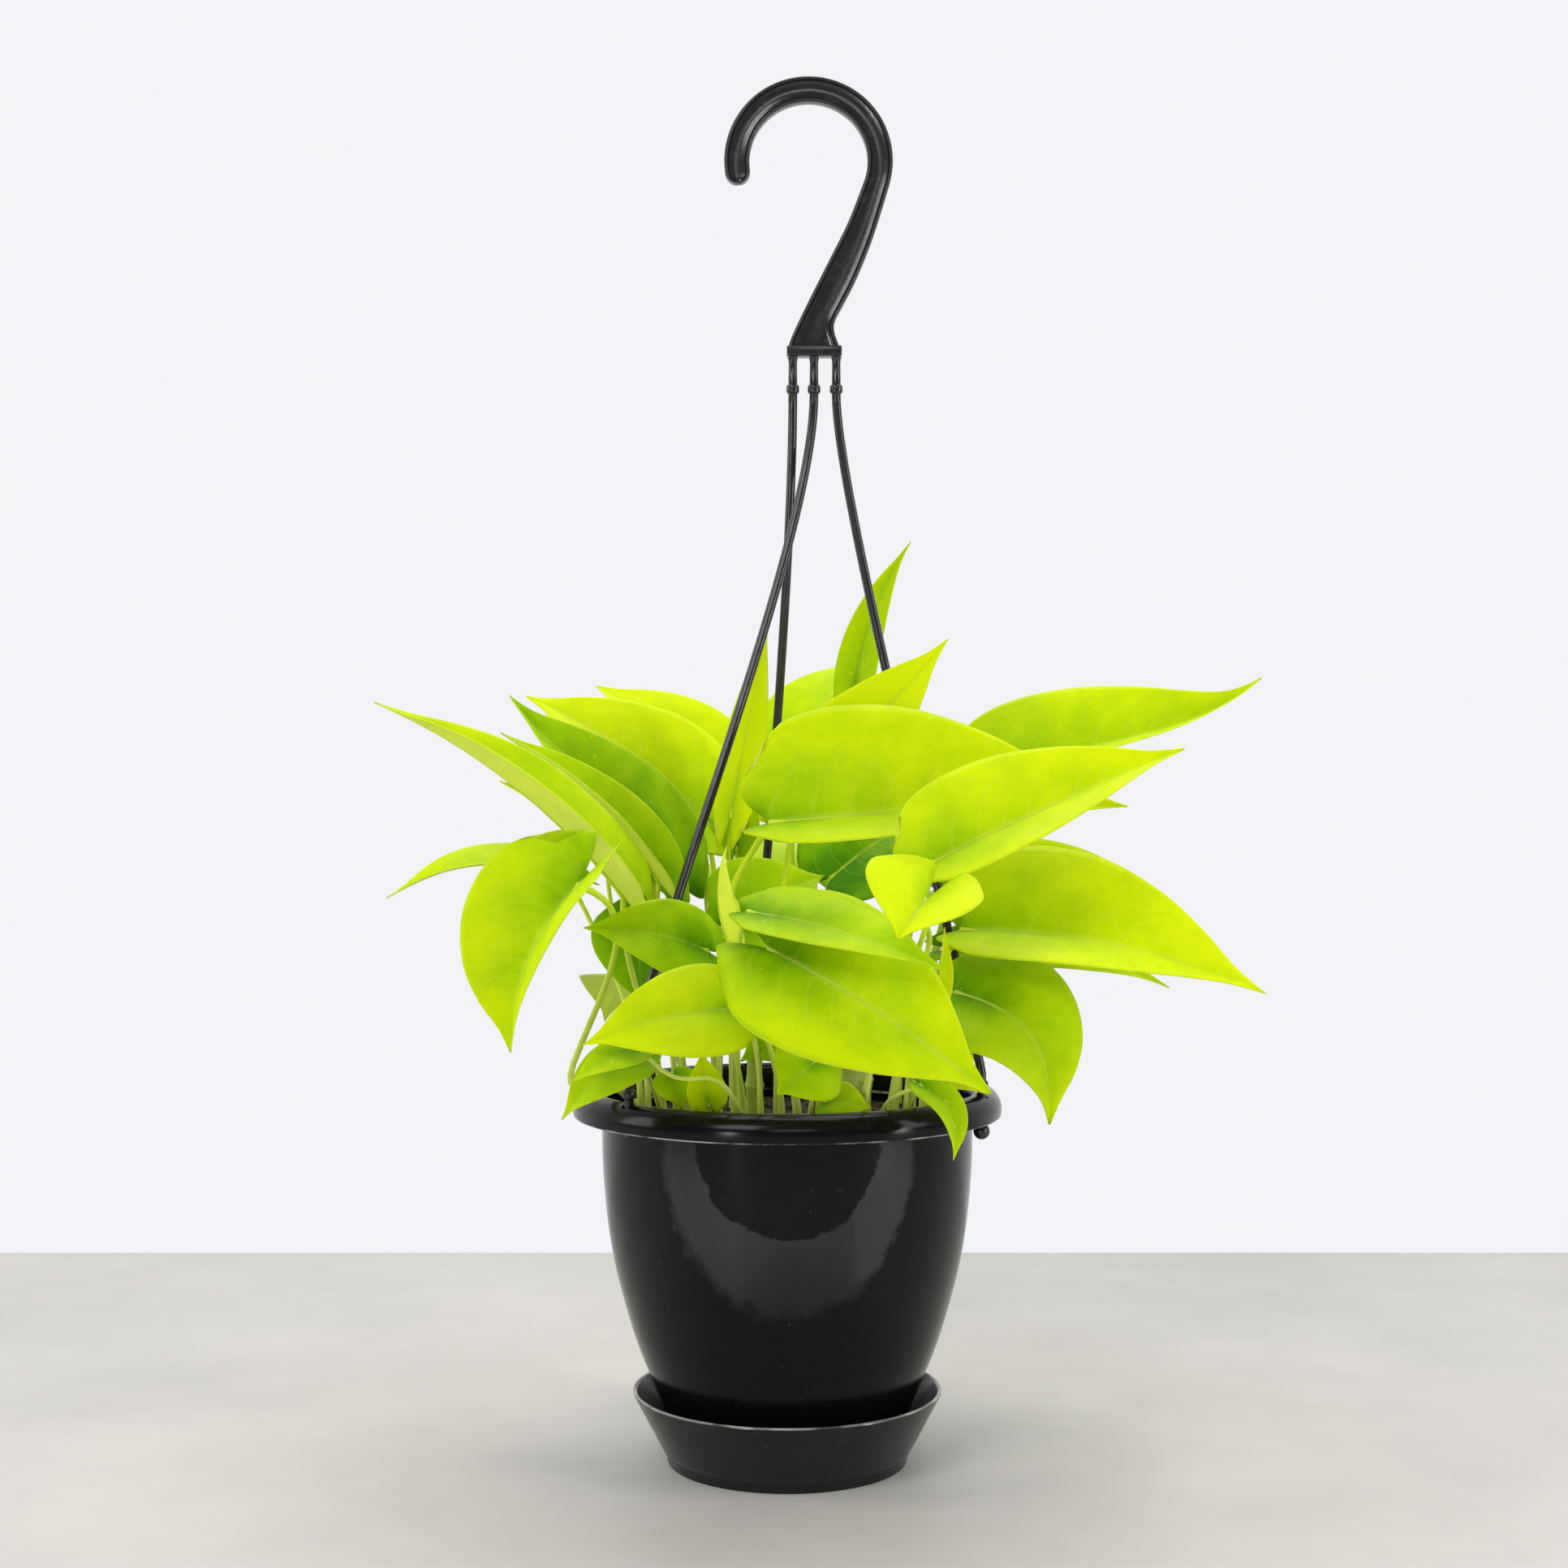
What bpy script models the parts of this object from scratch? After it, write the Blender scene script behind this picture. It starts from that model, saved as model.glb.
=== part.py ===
"""Golden pothos in a black plastic hanging pot, with its drip saucer and three-strand hanger.

Metres, +Z up. The origin is the centre of the saucer's underside, and -Y is the front.
Every length in the tables below is in millimetres and is turned into metres by mm().
"""

import math

import bmesh
import bpy
import numpy as np
from mathutils import Vector

# --- driving dimensions, millimetres ---

CLEARANCE = 0.35  # gap between pieces that touch
ROUND_STEPS = 40  # segments of a turned piece

SAUCER_FOOT_RADIUS = 47.5
SAUCER_FOOT_HEIGHT = 4.4
SAUCER_RIM_RADIUS = 61.0
SAUCER_HEIGHT = 28.3
SAUCER_WALL = 1.6
SAUCER_FLOOR = 2.0

POT_FOOT_RADIUS = 42.0
POT_WALL = 1.7
POT_FLOOR = 2.2
POT_BODY = [(46.0, 13), (48.2, 20), (54.9, 36), (59.6, 48), (63.6, 61), (67.8, 77), (70.9, 95), (72.6, 113)]
POT_TOP_RADIUS = 73.2
LIP_RADIUS = 84.6
LIP_TOP = 147.3
LIP_DROP = 10.4  # from the crown of the lip down to its turned edge
LIP_WALL = 1.7
DRAIN_HOLES = 5
DRAIN_HOLE_RADIUS = 3.5
DRAIN_CIRCLE_RADIUS = 26.0

SOIL_LEVEL = 134.0
SOIL_MOUND = 2.5

HANGER_ANGLES = {"left": -138.6, "right": -18.6, "back": 101.4}  # round the lip, degrees
HANGER_CIRCLE_RADIUS = 79.0
STRAND_RADIUS = 1.8
STRAND_HOLE_PLAY = 0.8
COLLAR_SWELL = 1.42  # a collar's radius over its strand's
BALL_RADIUS = 3.2
BALL_HEIGHTS = {"left": 138.2, "right": 133.2, "back": 138.2}  # two strands are pulled up tight
RIM_COLLAR_HEIGHT = 151.0

HOOK_CENTRE = (8.4, 513.5)  # X and Z of the crook
HOOK_RADIUS = 28.4
HOOK_BAND = 10.0
HOOK_DEPTH = 6.4
HOOK_WEB = 3.0
HOOK_BEAD = 1.7
HOOK_TIP_ANGLE = 188.0
HOOK_SHANK_ANGLE = -18.0
HOOK_SHANK_INNER = [(24.1, 489.4), (16.1, 473.3), (8.0, 457.2), (1.6, 444.3), (0.6, 439.0)]
HOOK_SHANK_OUTER = [(19.6, 439.0), (18.3, 446.0), (18.7, 451.7), (21.5, 455.6), (27.3, 466.8), (33.8, 482.9)]
HOOK_BAR = (-0.2, 21.6, 436.2, 440.0)  # left, right, bottom and top of the bar the strands hang from
STRAND_TOPS = {"back": 2.2, "left": 10.6, "right": 19.4}  # X of each strand under the bar
TOP_COLLAR_HEIGHT = 423.4
STRAND_BOW = {"back": (0.30, 0.0), "left": (0.22, 0.12), "right": (0.16, 0.03)}  # handles, top and foot

BLADE_THICKNESS = 0.7
BLADE_ROWS = 6
BLADE_HALF_COLUMNS = 2
PETIOLE_POINTS = 7

# Half-width of a blade along its midrib, as shares of the length and of the widest half-width
BLADE_OUTLINE = [
    (0.0, 0.5),
    (0.04, 0.77),
    (0.1, 0.92),
    (0.22, 1.0),
    (0.4, 0.93),
    (0.6, 0.68),
    (0.75, 0.41),
    (0.87, 0.165),
    (0.95, 0.06),
    (1.0, 0.02),
]


def mm(*values):
    return Vector([value * 0.001 for value in values]) if len(values) > 1 else values[0] * 0.001


# --- shared helpers ---


def material(name, colour, roughness):
    made = bpy.data.materials.new(name)
    made.use_nodes = True
    shader = made.node_tree.nodes["Principled BSDF"]
    shader.inputs["Base Color"].default_value = (*colour, 1.0)
    shader.inputs["Roughness"].default_value = roughness
    shader.inputs["Metallic"].default_value = 0.0
    return made


def link(name, data, collection, finish=None):
    made = bpy.data.objects.new(name, data)
    collection.objects.link(made)
    if finish:
        made.data.materials.append(finish)
    return made


def helper(made):
    made.hide_render = True
    made.display_type = "WIRE"
    return made


def mesh_from(obj, name):
    """The evaluated mesh of obj with its caps welded; obj is removed."""
    graph = bpy.context.evaluated_depsgraph_get()
    made = bpy.data.meshes.new_from_object(obj.evaluated_get(graph))
    made.name = name
    shape = bmesh.new()
    shape.from_mesh(made)
    bmesh.ops.remove_doubles(shape, verts=shape.verts, dist=1e-5)
    shape.to_mesh(made)
    shape.free()
    bpy.data.objects.remove(obj)
    return made


def turned(name, profile, collection, finish):
    """A profile of (radius, height) in millimetres, running down its outer side, turned round Z."""
    shape = bpy.data.meshes.new(name)
    points = [mm(radius, 0, height) for radius, height in profile]
    edges = [(i, i + 1) for i in range(len(points) - 1)]
    shape.from_pydata(points, edges, [])
    made = link(name, shape, collection, finish)
    screw = made.modifiers.new("Turn", "SCREW")
    screw.steps = ROUND_STEPS
    screw.render_steps = ROUND_STEPS
    screw.use_merge_vertices = True
    screw.merge_threshold = 1e-5
    screw.use_smooth_shade = True
    return made


def tube(name, points, radii, collection, sides=2):
    """A round bar through points in metres, with a radius in millimetres at each."""
    curve = bpy.data.curves.new(name, "CURVE")
    curve.dimensions = "3D"
    curve.bevel_depth = mm(1.0)
    curve.bevel_resolution = sides
    curve.use_fill_caps = True
    spline = curve.splines.new("POLY")
    spline.points.add(len(points) - 1)
    for point, place, radius in zip(spline.points, points, radii):
        point.co = (*place, 1.0)
        point.radius = radius
    return link(name, curve, collection)


def bezier(corners, share):
    a, b, c, d = corners
    rest = 1 - share
    return a * rest**3 + b * 3 * rest**2 * share + c * 3 * rest * share**2 + d * share**3


def subtract(obj, cutter, name):
    cut = obj.modifiers.new(name, "BOOLEAN")
    cut.operation = "DIFFERENCE"
    cut.object = cutter


def unite(obj, other, name):
    join = obj.modifiers.new(name, "BOOLEAN")
    join.operation = "UNION"
    join.object = other


def upright_cylinder(name, radius, place, length, collection):
    """A closed cylinder along Z, whose middle is at place."""
    shape = bmesh.new()
    bmesh.ops.create_cone(
        shape, cap_ends=True, segments=16, radius1=mm(radius), radius2=mm(radius), depth=mm(length)
    )
    bmesh.ops.translate(shape, verts=shape.verts, vec=place)
    made = bpy.data.meshes.new(name)
    shape.to_mesh(made)
    shape.free()
    return helper(link(name, made, collection))


# --- pot, saucer and soil ---


def build_saucer(parts, finish):
    inner_rim = SAUCER_RIM_RADIUS - SAUCER_WALL
    inner_foot = SAUCER_FOOT_RADIUS - 0.6
    cone_foot = SAUCER_FOOT_RADIUS + 1.4
    profile = [
        (0, SAUCER_FLOOR),
        (inner_foot, SAUCER_FLOOR),
        (inner_rim, SAUCER_HEIGHT - 0.4),
        (inner_rim + 0.5, SAUCER_HEIGHT),
        (SAUCER_RIM_RADIUS - 0.4, SAUCER_HEIGHT),
        (SAUCER_RIM_RADIUS, SAUCER_HEIGHT - 0.7),
        (cone_foot, SAUCER_FOOT_HEIGHT + 0.3),
        (SAUCER_FOOT_RADIUS, SAUCER_FOOT_HEIGHT),
        (SAUCER_FOOT_RADIUS, 0.4),
        (SAUCER_FOOT_RADIUS - 0.4, 0),
        (0, 0),
    ]
    turned("saucer", profile, parts, finish)


def pot_foot():
    return SAUCER_FLOOR + CLEARANCE


def pot_inside():
    """(radius, height) of the pot's inner wall, from the floor up."""
    floor = pot_foot() + POT_FLOOR
    wall = [(radius - POT_WALL, height) for radius, height in POT_BODY]
    return [(POT_FOOT_RADIUS - POT_WALL, floor), *wall]


def build_pot(parts, cutters, finish):
    foot = pot_foot()
    top_inner = POT_TOP_RADIUS - POT_WALL
    crown = (POT_TOP_RADIUS + LIP_RADIUS) / 2 - 1.5
    edge = LIP_TOP - LIP_DROP
    profile = [(0, foot + POT_FLOOR), *pot_inside()]
    profile += [
        (top_inner, LIP_TOP - 12),
        (top_inner + 0.8, LIP_TOP - 3.2),
        (crown - 2.0, LIP_TOP - 0.7),
        (crown, LIP_TOP),
        (crown + 3.2, LIP_TOP - 0.9),
        (LIP_RADIUS - 1.0, LIP_TOP - 3.6),
        (LIP_RADIUS, LIP_TOP - 6.6),
        (LIP_RADIUS - 0.4, edge),
        (LIP_RADIUS - LIP_WALL, edge),
        (LIP_RADIUS - LIP_WALL, LIP_TOP - 6.2),
        (crown + 2.4, LIP_TOP - 0.9 - LIP_WALL),
        (crown - 1.0, LIP_TOP - 0.5 - LIP_WALL),
        (POT_TOP_RADIUS + 0.4, LIP_TOP - 5.2),
        (POT_TOP_RADIUS, LIP_TOP - 11.5),
    ]
    profile += [(radius, height) for radius, height in reversed(POT_BODY)]
    profile += [(POT_FOOT_RADIUS, foot), (0, foot)]
    pot = turned("pot", profile, parts, finish)

    for side, angle in HANGER_ANGLES.items():
        place = hanger_point(angle, LIP_TOP)
        hole = upright_cylinder(
            "hanger_hole_" + side, STRAND_RADIUS + STRAND_HOLE_PLAY, place, 3 * LIP_WALL + 6, cutters
        )
        subtract(pot, hole, "Hanger hole " + side)
    for number in range(DRAIN_HOLES):
        turn = 2 * math.pi * (number + 0.25) / DRAIN_HOLES
        x, y = DRAIN_CIRCLE_RADIUS * math.cos(turn), DRAIN_CIRCLE_RADIUS * math.sin(turn)
        place = mm(x, y, foot + POT_FLOOR / 2)
        hole = upright_cylinder(f"drain_hole_{number + 1}", DRAIN_HOLE_RADIUS, place, 3 * POT_FLOOR, cutters)
        subtract(pot, hole, f"Drain hole {number + 1}")


def build_soil(parts, finish):
    wall = [(radius - CLEARANCE, height) for radius, height in pot_inside()]
    wall[0] = (wall[0][0], wall[0][1] + CLEARANCE)
    profile = [
        (0, SOIL_LEVEL + SOIL_MOUND),
        (0.55 * POT_TOP_RADIUS, SOIL_LEVEL + 0.6 * SOIL_MOUND),
        (POT_TOP_RADIUS - POT_WALL - CLEARANCE, SOIL_LEVEL),
    ]
    profile += list(reversed(wall))
    profile += [(0, wall[0][1])]
    turned("potting_soil", profile, parts, finish)


# --- hanger ---


def hanger_point(angle, height):
    turn = math.radians(angle)
    return mm(HANGER_CIRCLE_RADIUS * math.cos(turn), HANGER_CIRCLE_RADIUS * math.sin(turn), height)


def arc(radius, start, end, steps):
    centre_x, centre_z = HOOK_CENTRE
    turns = [math.radians(start + (end - start) * i / steps) for i in range(steps + 1)]
    return [(centre_x + radius * math.cos(turn), centre_z + radius * math.sin(turn)) for turn in turns]


def hook_outline(inset):
    """The hook's outline in X and Z, drawn in from its edge by inset."""
    half = HOOK_BAND / 2 - inset
    inner = arc(HOOK_RADIUS - half, HOOK_TIP_ANGLE, HOOK_SHANK_ANGLE, 16)
    outer = arc(HOOK_RADIUS + half, HOOK_SHANK_ANGLE, HOOK_TIP_ANGLE, 18)
    tip_turn = math.radians(HOOK_TIP_ANGLE)
    tip_x = HOOK_CENTRE[0] + HOOK_RADIUS * math.cos(tip_turn)
    tip_z = HOOK_CENTRE[1] + HOOK_RADIUS * math.sin(tip_turn)
    tip = []
    for step in range(1, 6):
        turn = tip_turn + math.pi * step / 6
        tip.append((tip_x + half * math.cos(turn), tip_z + half * math.sin(turn)))
    lift = 1.6 * inset
    shank_in = [(x + inset, z + (lift if z < 440 else 0)) for x, z in HOOK_SHANK_INNER]
    shank_out = [(x - inset, z + (lift if z < 440 else 0)) for x, z in HOOK_SHANK_OUTER]
    return inner + shank_in + shank_out + outer + tip


def flat_plate(name, outline, depth, middle, collection):
    """A flat plate with this outline in X and Z, depth thick along Y about middle."""
    curve = bpy.data.curves.new(name, "CURVE")
    curve.dimensions = "2D"
    curve.fill_mode = "BOTH"
    curve.extrude = mm(depth / 2)
    spline = curve.splines.new("POLY")
    spline.points.add(len(outline) - 1)
    for point, (x, z) in zip(spline.points, outline):
        point.co = (mm(x), mm(z), 0, 1)
    spline.use_cyclic_u = True
    made = link(name, curve, collection)
    made.rotation_euler = (math.pi / 2, 0, 0)
    made.location = (0, mm(middle), 0)
    bpy.context.view_layer.update()
    matrix = made.matrix_world.copy()
    shape = mesh_from(made, name)
    shape.transform(matrix)
    return link(name, shape, collection)


def build_hook(parts, cutters, finish):
    hook = flat_plate("hanger_hook", hook_outline(0), HOOK_DEPTH, 0, parts)
    hook.data.materials.append(finish)
    pocket = (HOOK_DEPTH - HOOK_WEB) / 2
    for side in (-1, 1):
        middle = side * (HOOK_WEB / 2 + pocket)
        dish = helper(flat_plate(f"hook_dish_{side}", hook_outline(HOOK_BEAD), 2 * pocket, middle, cutters))
        subtract(hook, dish, f"Dish {side}")
    left, right, bottom, top = HOOK_BAR
    bar_outline = [(left, bottom), (right, bottom), (right, top), (left, top)]
    bar = helper(flat_plate("hook_bar", bar_outline, HOOK_DEPTH + 0.8, 0, cutters))
    unite(hook, bar, "Bar")


def ball_profile(bottom, top):
    """(height, radius) down a ball, between the strand above it and its foot."""
    middle = (bottom + top) / 2
    found = []
    for step in range(6):
        turn = math.radians(50 - 130 * step / 5)
        found.append((middle + BALL_RADIUS * math.sin(turn), BALL_RADIUS * math.cos(turn)))
    return found


def collar(at, direction, half_length):
    """Places and radii of a raised ring round a strand."""
    shares = (-1.0, -0.6, 0.6, 1.0)
    swells = (1.0, COLLAR_SWELL, COLLAR_SWELL, 1.0)
    return [
        (at + direction * mm(half_length * share), STRAND_RADIUS * swell)
        for share, swell in zip(shares, swells)
    ]


def strand_line(side):
    """Places and radii down one strand, from the hook's bar to the ball under the lip."""
    down = Vector((0, 0, -1))
    top = mm(STRAND_TOPS[side], 0, HOOK_BAR[2] - CLEARANCE)
    rim = hanger_point(HANGER_ANGLES[side], RIM_COLLAR_HEIGHT + 4)
    first = mm(STRAND_TOPS[side], 0, TOP_COLLAR_HEIGHT - 2)
    line = [(top, STRAND_RADIUS)]
    line += collar(mm(STRAND_TOPS[side], 0, TOP_COLLAR_HEIGHT), down, 1.6)
    span = (rim - first).length
    leave, arrive = STRAND_BOW[side]
    corners = (first, first + down * span * leave, rim - down * span * arrive, rim)
    line += [(bezier(corners, step / 14), STRAND_RADIUS) for step in range(1, 15)]
    line += collar(hanger_point(HANGER_ANGLES[side], RIM_COLLAR_HEIGHT), down, 1.6)
    middle = BALL_HEIGHTS[side]
    for height, radius in ball_profile(middle - BALL_RADIUS, middle + BALL_RADIUS):
        line.append((hanger_point(HANGER_ANGLES[side], height), radius))
    return line


def build_strand(side, parts, finish):
    line = strand_line(side)
    places = [place for place, radius in line]
    radii = [radius for place, radius in line]
    made = tube("hanger_strand_" + side, places, radii, parts, sides=2)
    made.data.materials.append(finish)


# --- the plant ---

# Each leaf: root is where its petiole leaves the soil, base where petiole and blade meet, face the way
# the blade's upper side looks. fold lifts both halves, arch bows the midrib up, flick bends its last third,
# sway bows it sideways, halves scales the two halves' widths, curl rolls the margins down, lobe is how far
# the lobes reach behind the base, bend is how far the petiole swings under the blade, and via is a place the
# petiole passes. Millimetres and degrees.
LEAVES = [
    # left side
    dict(name="leaf_left_long", root=(-48, -24), base=(-62, -40, 224), tip=(-154.5, -52, 297.5),
         face=(0.5, -0.25, 0.85), width=60, fold=44, arch=8, halves=(0.85, 0.75), lobe=0.14),
    dict(name="leaf_left_nested", root=(-40, -3), base=(-50.5, -11, 229), tip=(-112, -13, 287),
         face=(0.5, -0.3, 0.8), width=50, fold=44, arch=4, halves=(0.8, 0.8)),
    dict(name="leaf_left_broad", root=(-32, 9), base=(-47.5, 14, 230.5), tip=(-111.5, 12, 302.5),
         face=(0.5, -0.55, 0.7), width=62, fold=26, arch=6, flick=-5),
    dict(name="leaf_left_hanging", root=(-56, -26), base=(-76, -76, 230), tip=(-98, -98, 172),
         face=(-0.61, -0.75, 0.25), width=72, fold=41, arch=5, sway=4, lobe=0.3, via=(-77, -54, 170)),
    dict(name="leaf_left_bright", root=(-22, 25), base=(-34, 38, 252.5), tip=(-109, 50, 303.5),
         face=(0.2, -0.78, 0.6), width=64, fold=14, arch=8, halves=(0.8, 1), bend=0.18),
    dict(name="leaf_left_top", root=(-21, 46), base=(-26, 64, 259), tip=(-82, 78, 309),
         face=(0.3, -0.75, 0.6), width=60, fold=14, arch=8),
    dict(name="leaf_upright_gold", root=(-14, 14), base=(-23, 20, 254), tip=(-7.5, 20, 334),
         face=(0.1, -0.95, 0.1), width=21, fold=30, arch=-4),
    dict(name="leaf_behind_gold", root=(-28, 42), base=(-21, 52, 240), tip=(-18, 56, 279),
         face=(0.0, -0.95, 0.2), width=18, fold=12, arch=3),
    dict(name="leaf_far_left", root=(-58, -2), base=(-88, 12, 230), tip=(-158, -4, 222),
         face=(0.0, -0.25, 1.0), width=36, fold=26, arch=9),
    dict(name="leaf_left_tucked", root=(-56, 14), base=(-74, 34, 234), tip=(-118, 34, 268),
         face=(0.4, -0.5, 0.75), width=38, fold=36, arch=3),
    dict(name="leaf_left_level", root=(-26, -36), base=(-30, -56, 205), tip=(-75, -66, 214),
         face=(0.0, -0.82, 0.57), width=34, fold=12, arch=5, lobe=0.25),
    dict(name="leaf_left_shaded", root=(-44, 2), base=(-60, 8, 216), tip=(-57, 2, 178),
         face=(-0.1, -0.9, 0.2), width=38, fold=10, arch=4),
    # middle
    dict(name="leaf_centre_big", root=(-20, -24), base=(-6, -48, 252.5), tip=(128.5, -42, 258.5),
         face=(0.0, -0.8, 0.6), width=96, fold=25, arch=3, halves=(1, 0.36), lobe=0.08, via=(-20, -36, 222)),
    dict(name="leaf_centre_gold", root=(-4, -20), base=(4, -24, 259), tip=(62, -23, 323),
         face=(0, -0.9, 0.4), width=44, fold=25, arch=-2),
    dict(name="leaf_top_upright", root=(28, 44), base=(27.5, 52, 299.5), tip=(51.5, 48, 368),
         face=(-0.3, -0.95, 0.1), width=20, fold=25, arch=-3, sway=-6),
    dict(name="leaf_top_back", root=(4, 56), base=(4, 78, 280), tip=(35, 108, 321),
         face=(-0.1, -0.6, 0.7), width=52, fold=10, arch=6),
    dict(name="leaf_centre_back", root=(18, 22), base=(18, 20, 229), tip=(64, 42, 252),
         face=(0.0, -0.6, 0.8), width=58, fold=18, arch=6),
    dict(name="leaf_centre_inner", root=(-12, 4), base=(-22.5, 4, 211), tip=(14.5, 14, 230),
         face=(0.1, -0.75, 0.65), width=50, fold=12, arch=4),
    dict(name="leaf_centre_slim", root=(-16, -46), base=(-21, -64, 207.5), tip=(-22.5, -61, 244),
         face=(0.9, 0.3, 0.2), width=20, fold=40, arch=-4),
    dict(name="leaf_front_upper", root=(-2, -38), base=(-14, -84, 221), tip=(57, -112, 201),
         face=(0.0, -0.6, 0.8), width=36, fold=12, arch=4, halves=(1.0, 0.7), lobe=0.08),
    dict(name="leaf_front_big", root=(4, -52), base=(-6.5, -88, 208), tip=(71, -110, 159),
         face=(-0.05, -0.78, 0.62), width=70, fold=14, arch=5),
    dict(name="leaf_front_left", root=(-10, -56), base=(-18, -80, 186), tip=(-73.5, -88, 173.5),
         face=(0.1, -0.8, 0.6), width=40, fold=12, arch=5),
    # right side
    dict(name="leaf_right_front", root=(38, -44), base=(50.5, -72, 237), tip=(147, -60, 280),
         face=(0.0, -0.7, 0.71), width=64, fold=22, arch=2, halves=(1, 0.55),
         lobe=0.08, bend=0.12, via=(53, -44, 212)),
    dict(name="leaf_right_far", root=(50, 14), base=(81, 36, 266), tip=(192, 20, 310),
         face=(0.0, -0.55, 0.83), width=68, fold=38, arch=6, flick=-12),
    dict(name="leaf_young_cupped", root=(28, -56), base=(48.2, -106, 226), tip=(38, -121, 213.5),
         face=(-0.1, -0.8, 0.6), width=52, fold=34, arch=1, lobe=0.9),
    dict(name="leaf_right_sweep", root=(48, -16), base=(67, -33, 211), tip=(180, -46, 188),
         face=(0.0, -0.75, 0.66), width=80, fold=22, arch=10, halves=(1, 0.48), lobe=0.08),
    dict(name="leaf_right_behind", root=(54, 4), base=(72, 16, 222), tip=(170, 14, 203),
         face=(0.0, -0.65, 0.75), width=56, fold=30, arch=9),
    dict(name="leaf_right_slim", root=(56, -8), base=(68, 2, 202), tip=(150, -8, 187),
         face=(0.0, -0.6, 0.8), width=32, fold=20, arch=8),
    dict(name="leaf_right_tucked", root=(58, 26), base=(73, 32, 200), tip=(112, 20, 184),
         face=(0.0, -0.65, 0.75), width=40, fold=18, arch=6),
    dict(name="leaf_right_hanging", root=(54, -30), base=(64, -42, 188), tip=(97, -61, 141),
         face=(0.35, -0.8, 0.5), width=60, fold=16, arch=11, sway=-8),
    dict(name="leaf_right_small", root=(44, 20), base=(61, 20, 180), tip=(84, 16, 166),
         face=(0.2, -0.6, 0.75), width=22, fold=14, arch=3),
    dict(name="leaf_right_spike", root=(44, -50), base=(55, -70, 188), tip=(57.5, -70, 214.5),
         face=(0.6, -0.6, 0.1), width=12, fold=50, arch=0),
    # low leaves over the soil and the lip
    dict(name="leaf_low_heart", root=(8, -56), base=(10.3, -68, 165.4), tip=(-3.7, -75, 154),
         face=(0.2, -0.9, 0.4), width=30, fold=8, arch=1, lobe=0.42),
    dict(name="leaf_low_front", root=(20, -56), base=(14, -58.5, 149), tip=(31, -65, 147.5),
         face=(0.0, -0.8, 0.6), width=19, fold=8, arch=1),
    dict(name="leaf_low_left", root=(-34, -52), base=(-43, -53, 159), tip=(-39, -56, 146),
         face=(0.1, -0.9, 0.3), width=17, fold=10, arch=2),
    dict(name="leaf_low_upright", root=(-29, -57), base=(-29, -59, 148), tip=(-32, -60, 168),
         face=(0.0, -1.0, 0.0), width=16, fold=20, arch=1),
    dict(name="leaf_lip_left_upper", root=(-14, -58), base=(-53, -80, 171), tip=(-77, -88, 160),
         face=(-0.1, -0.6, 0.8), width=18, fold=16, arch=3, via=(-32, -76, 160)),
    dict(name="leaf_lip_left", root=(-47, -36), base=(-54, -65, 167), tip=(-82, -76, 145),
         face=(-0.2, -0.7, 0.7), width=26, fold=14, arch=5, via=(-53, -52, 162)),
    dict(name="leaf_lip_gold", root=(46, -42), base=(50.5, -58, 158), tip=(72.5, -74, 154),
         face=(0.0, -0.6, 0.8), width=18, fold=16, arch=3),
    dict(name="leaf_lip_right", root=(34, -56), base=(48, -80, 158), tip=(59, -93, 133),
         face=(0.5, -0.75, 0.4), width=17, fold=24, arch=4, sway=-4),
    dict(name="leaf_low_inner", root=(12, -18), base=(10, -22, 178), tip=(-18, -24, 160),
         face=(0.0, -0.9, 0.4), width=30, fold=8, arch=3),
    dict(name="leaf_low_back_right", root=(60, 16), base=(69, 24, 161), tip=(80, 19, 154),
         face=(0.0, -0.6, 0.8), width=12, fold=12, arch=1),
    # back
    dict(name="leaf_back_left", root=(-30, 50), base=(-46, 62, 226), tip=(-106, 118, 236),
         face=(-0.2, 0.3, 0.9), width=58, fold=16, arch=9),
    dict(name="leaf_back", root=(14, 54), base=(12, 94, 226), tip=(4, 162, 232),
         face=(0.0, 0.35, 0.9), width=60, fold=16, arch=9),
    dict(name="leaf_back_right", root=(17, 50), base=(36, 72, 244), tip=(70, 148, 252),
         face=(0.1, 0.35, 0.9), width=60, fold=16, arch=9),
    dict(name="leaf_back_right_side", root=(46, 38), base=(54, 58, 212), tip=(112, 114, 208),
         face=(0.1, 0.2, 0.95), width=44, fold=16, arch=9),
    dict(name="leaf_back_low_left", root=(-42, 38), base=(-60, 48, 185), tip=(-80, 98, 163),
         face=(-0.2, 0.6, 0.75), width=46, fold=14, arch=7),
    dict(name="leaf_back_low_right", root=(31, 46), base=(33, 62, 180), tip=(52, 112, 160),
         face=(0.1, 0.6, 0.75), width=40, fold=14, arch=7),
]

PETIOLE_RADIUS = 1.25  # of the largest leaf; a small leaf's petiole is thinner
LARGE_WIDTH = 66.0

STEMS = [
    dict(name="vine_stem_left", foot=(-14, -14), top=(-12, -18, 168), radius=3.2),
    dict(name="vine_stem_middle", foot=(24, -24), top=(22, -30, 172), radius=3.4),
    dict(name="vine_stem_right", foot=(30, 10), top=(31, 8, 166), radius=3.2),
]


def outline_share(share):
    """Half-width of a blade at this share of its length, as a share of its widest."""
    shares, widths = zip(*BLADE_OUTLINE)
    return float(np.interp(share, shares, widths))


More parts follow.
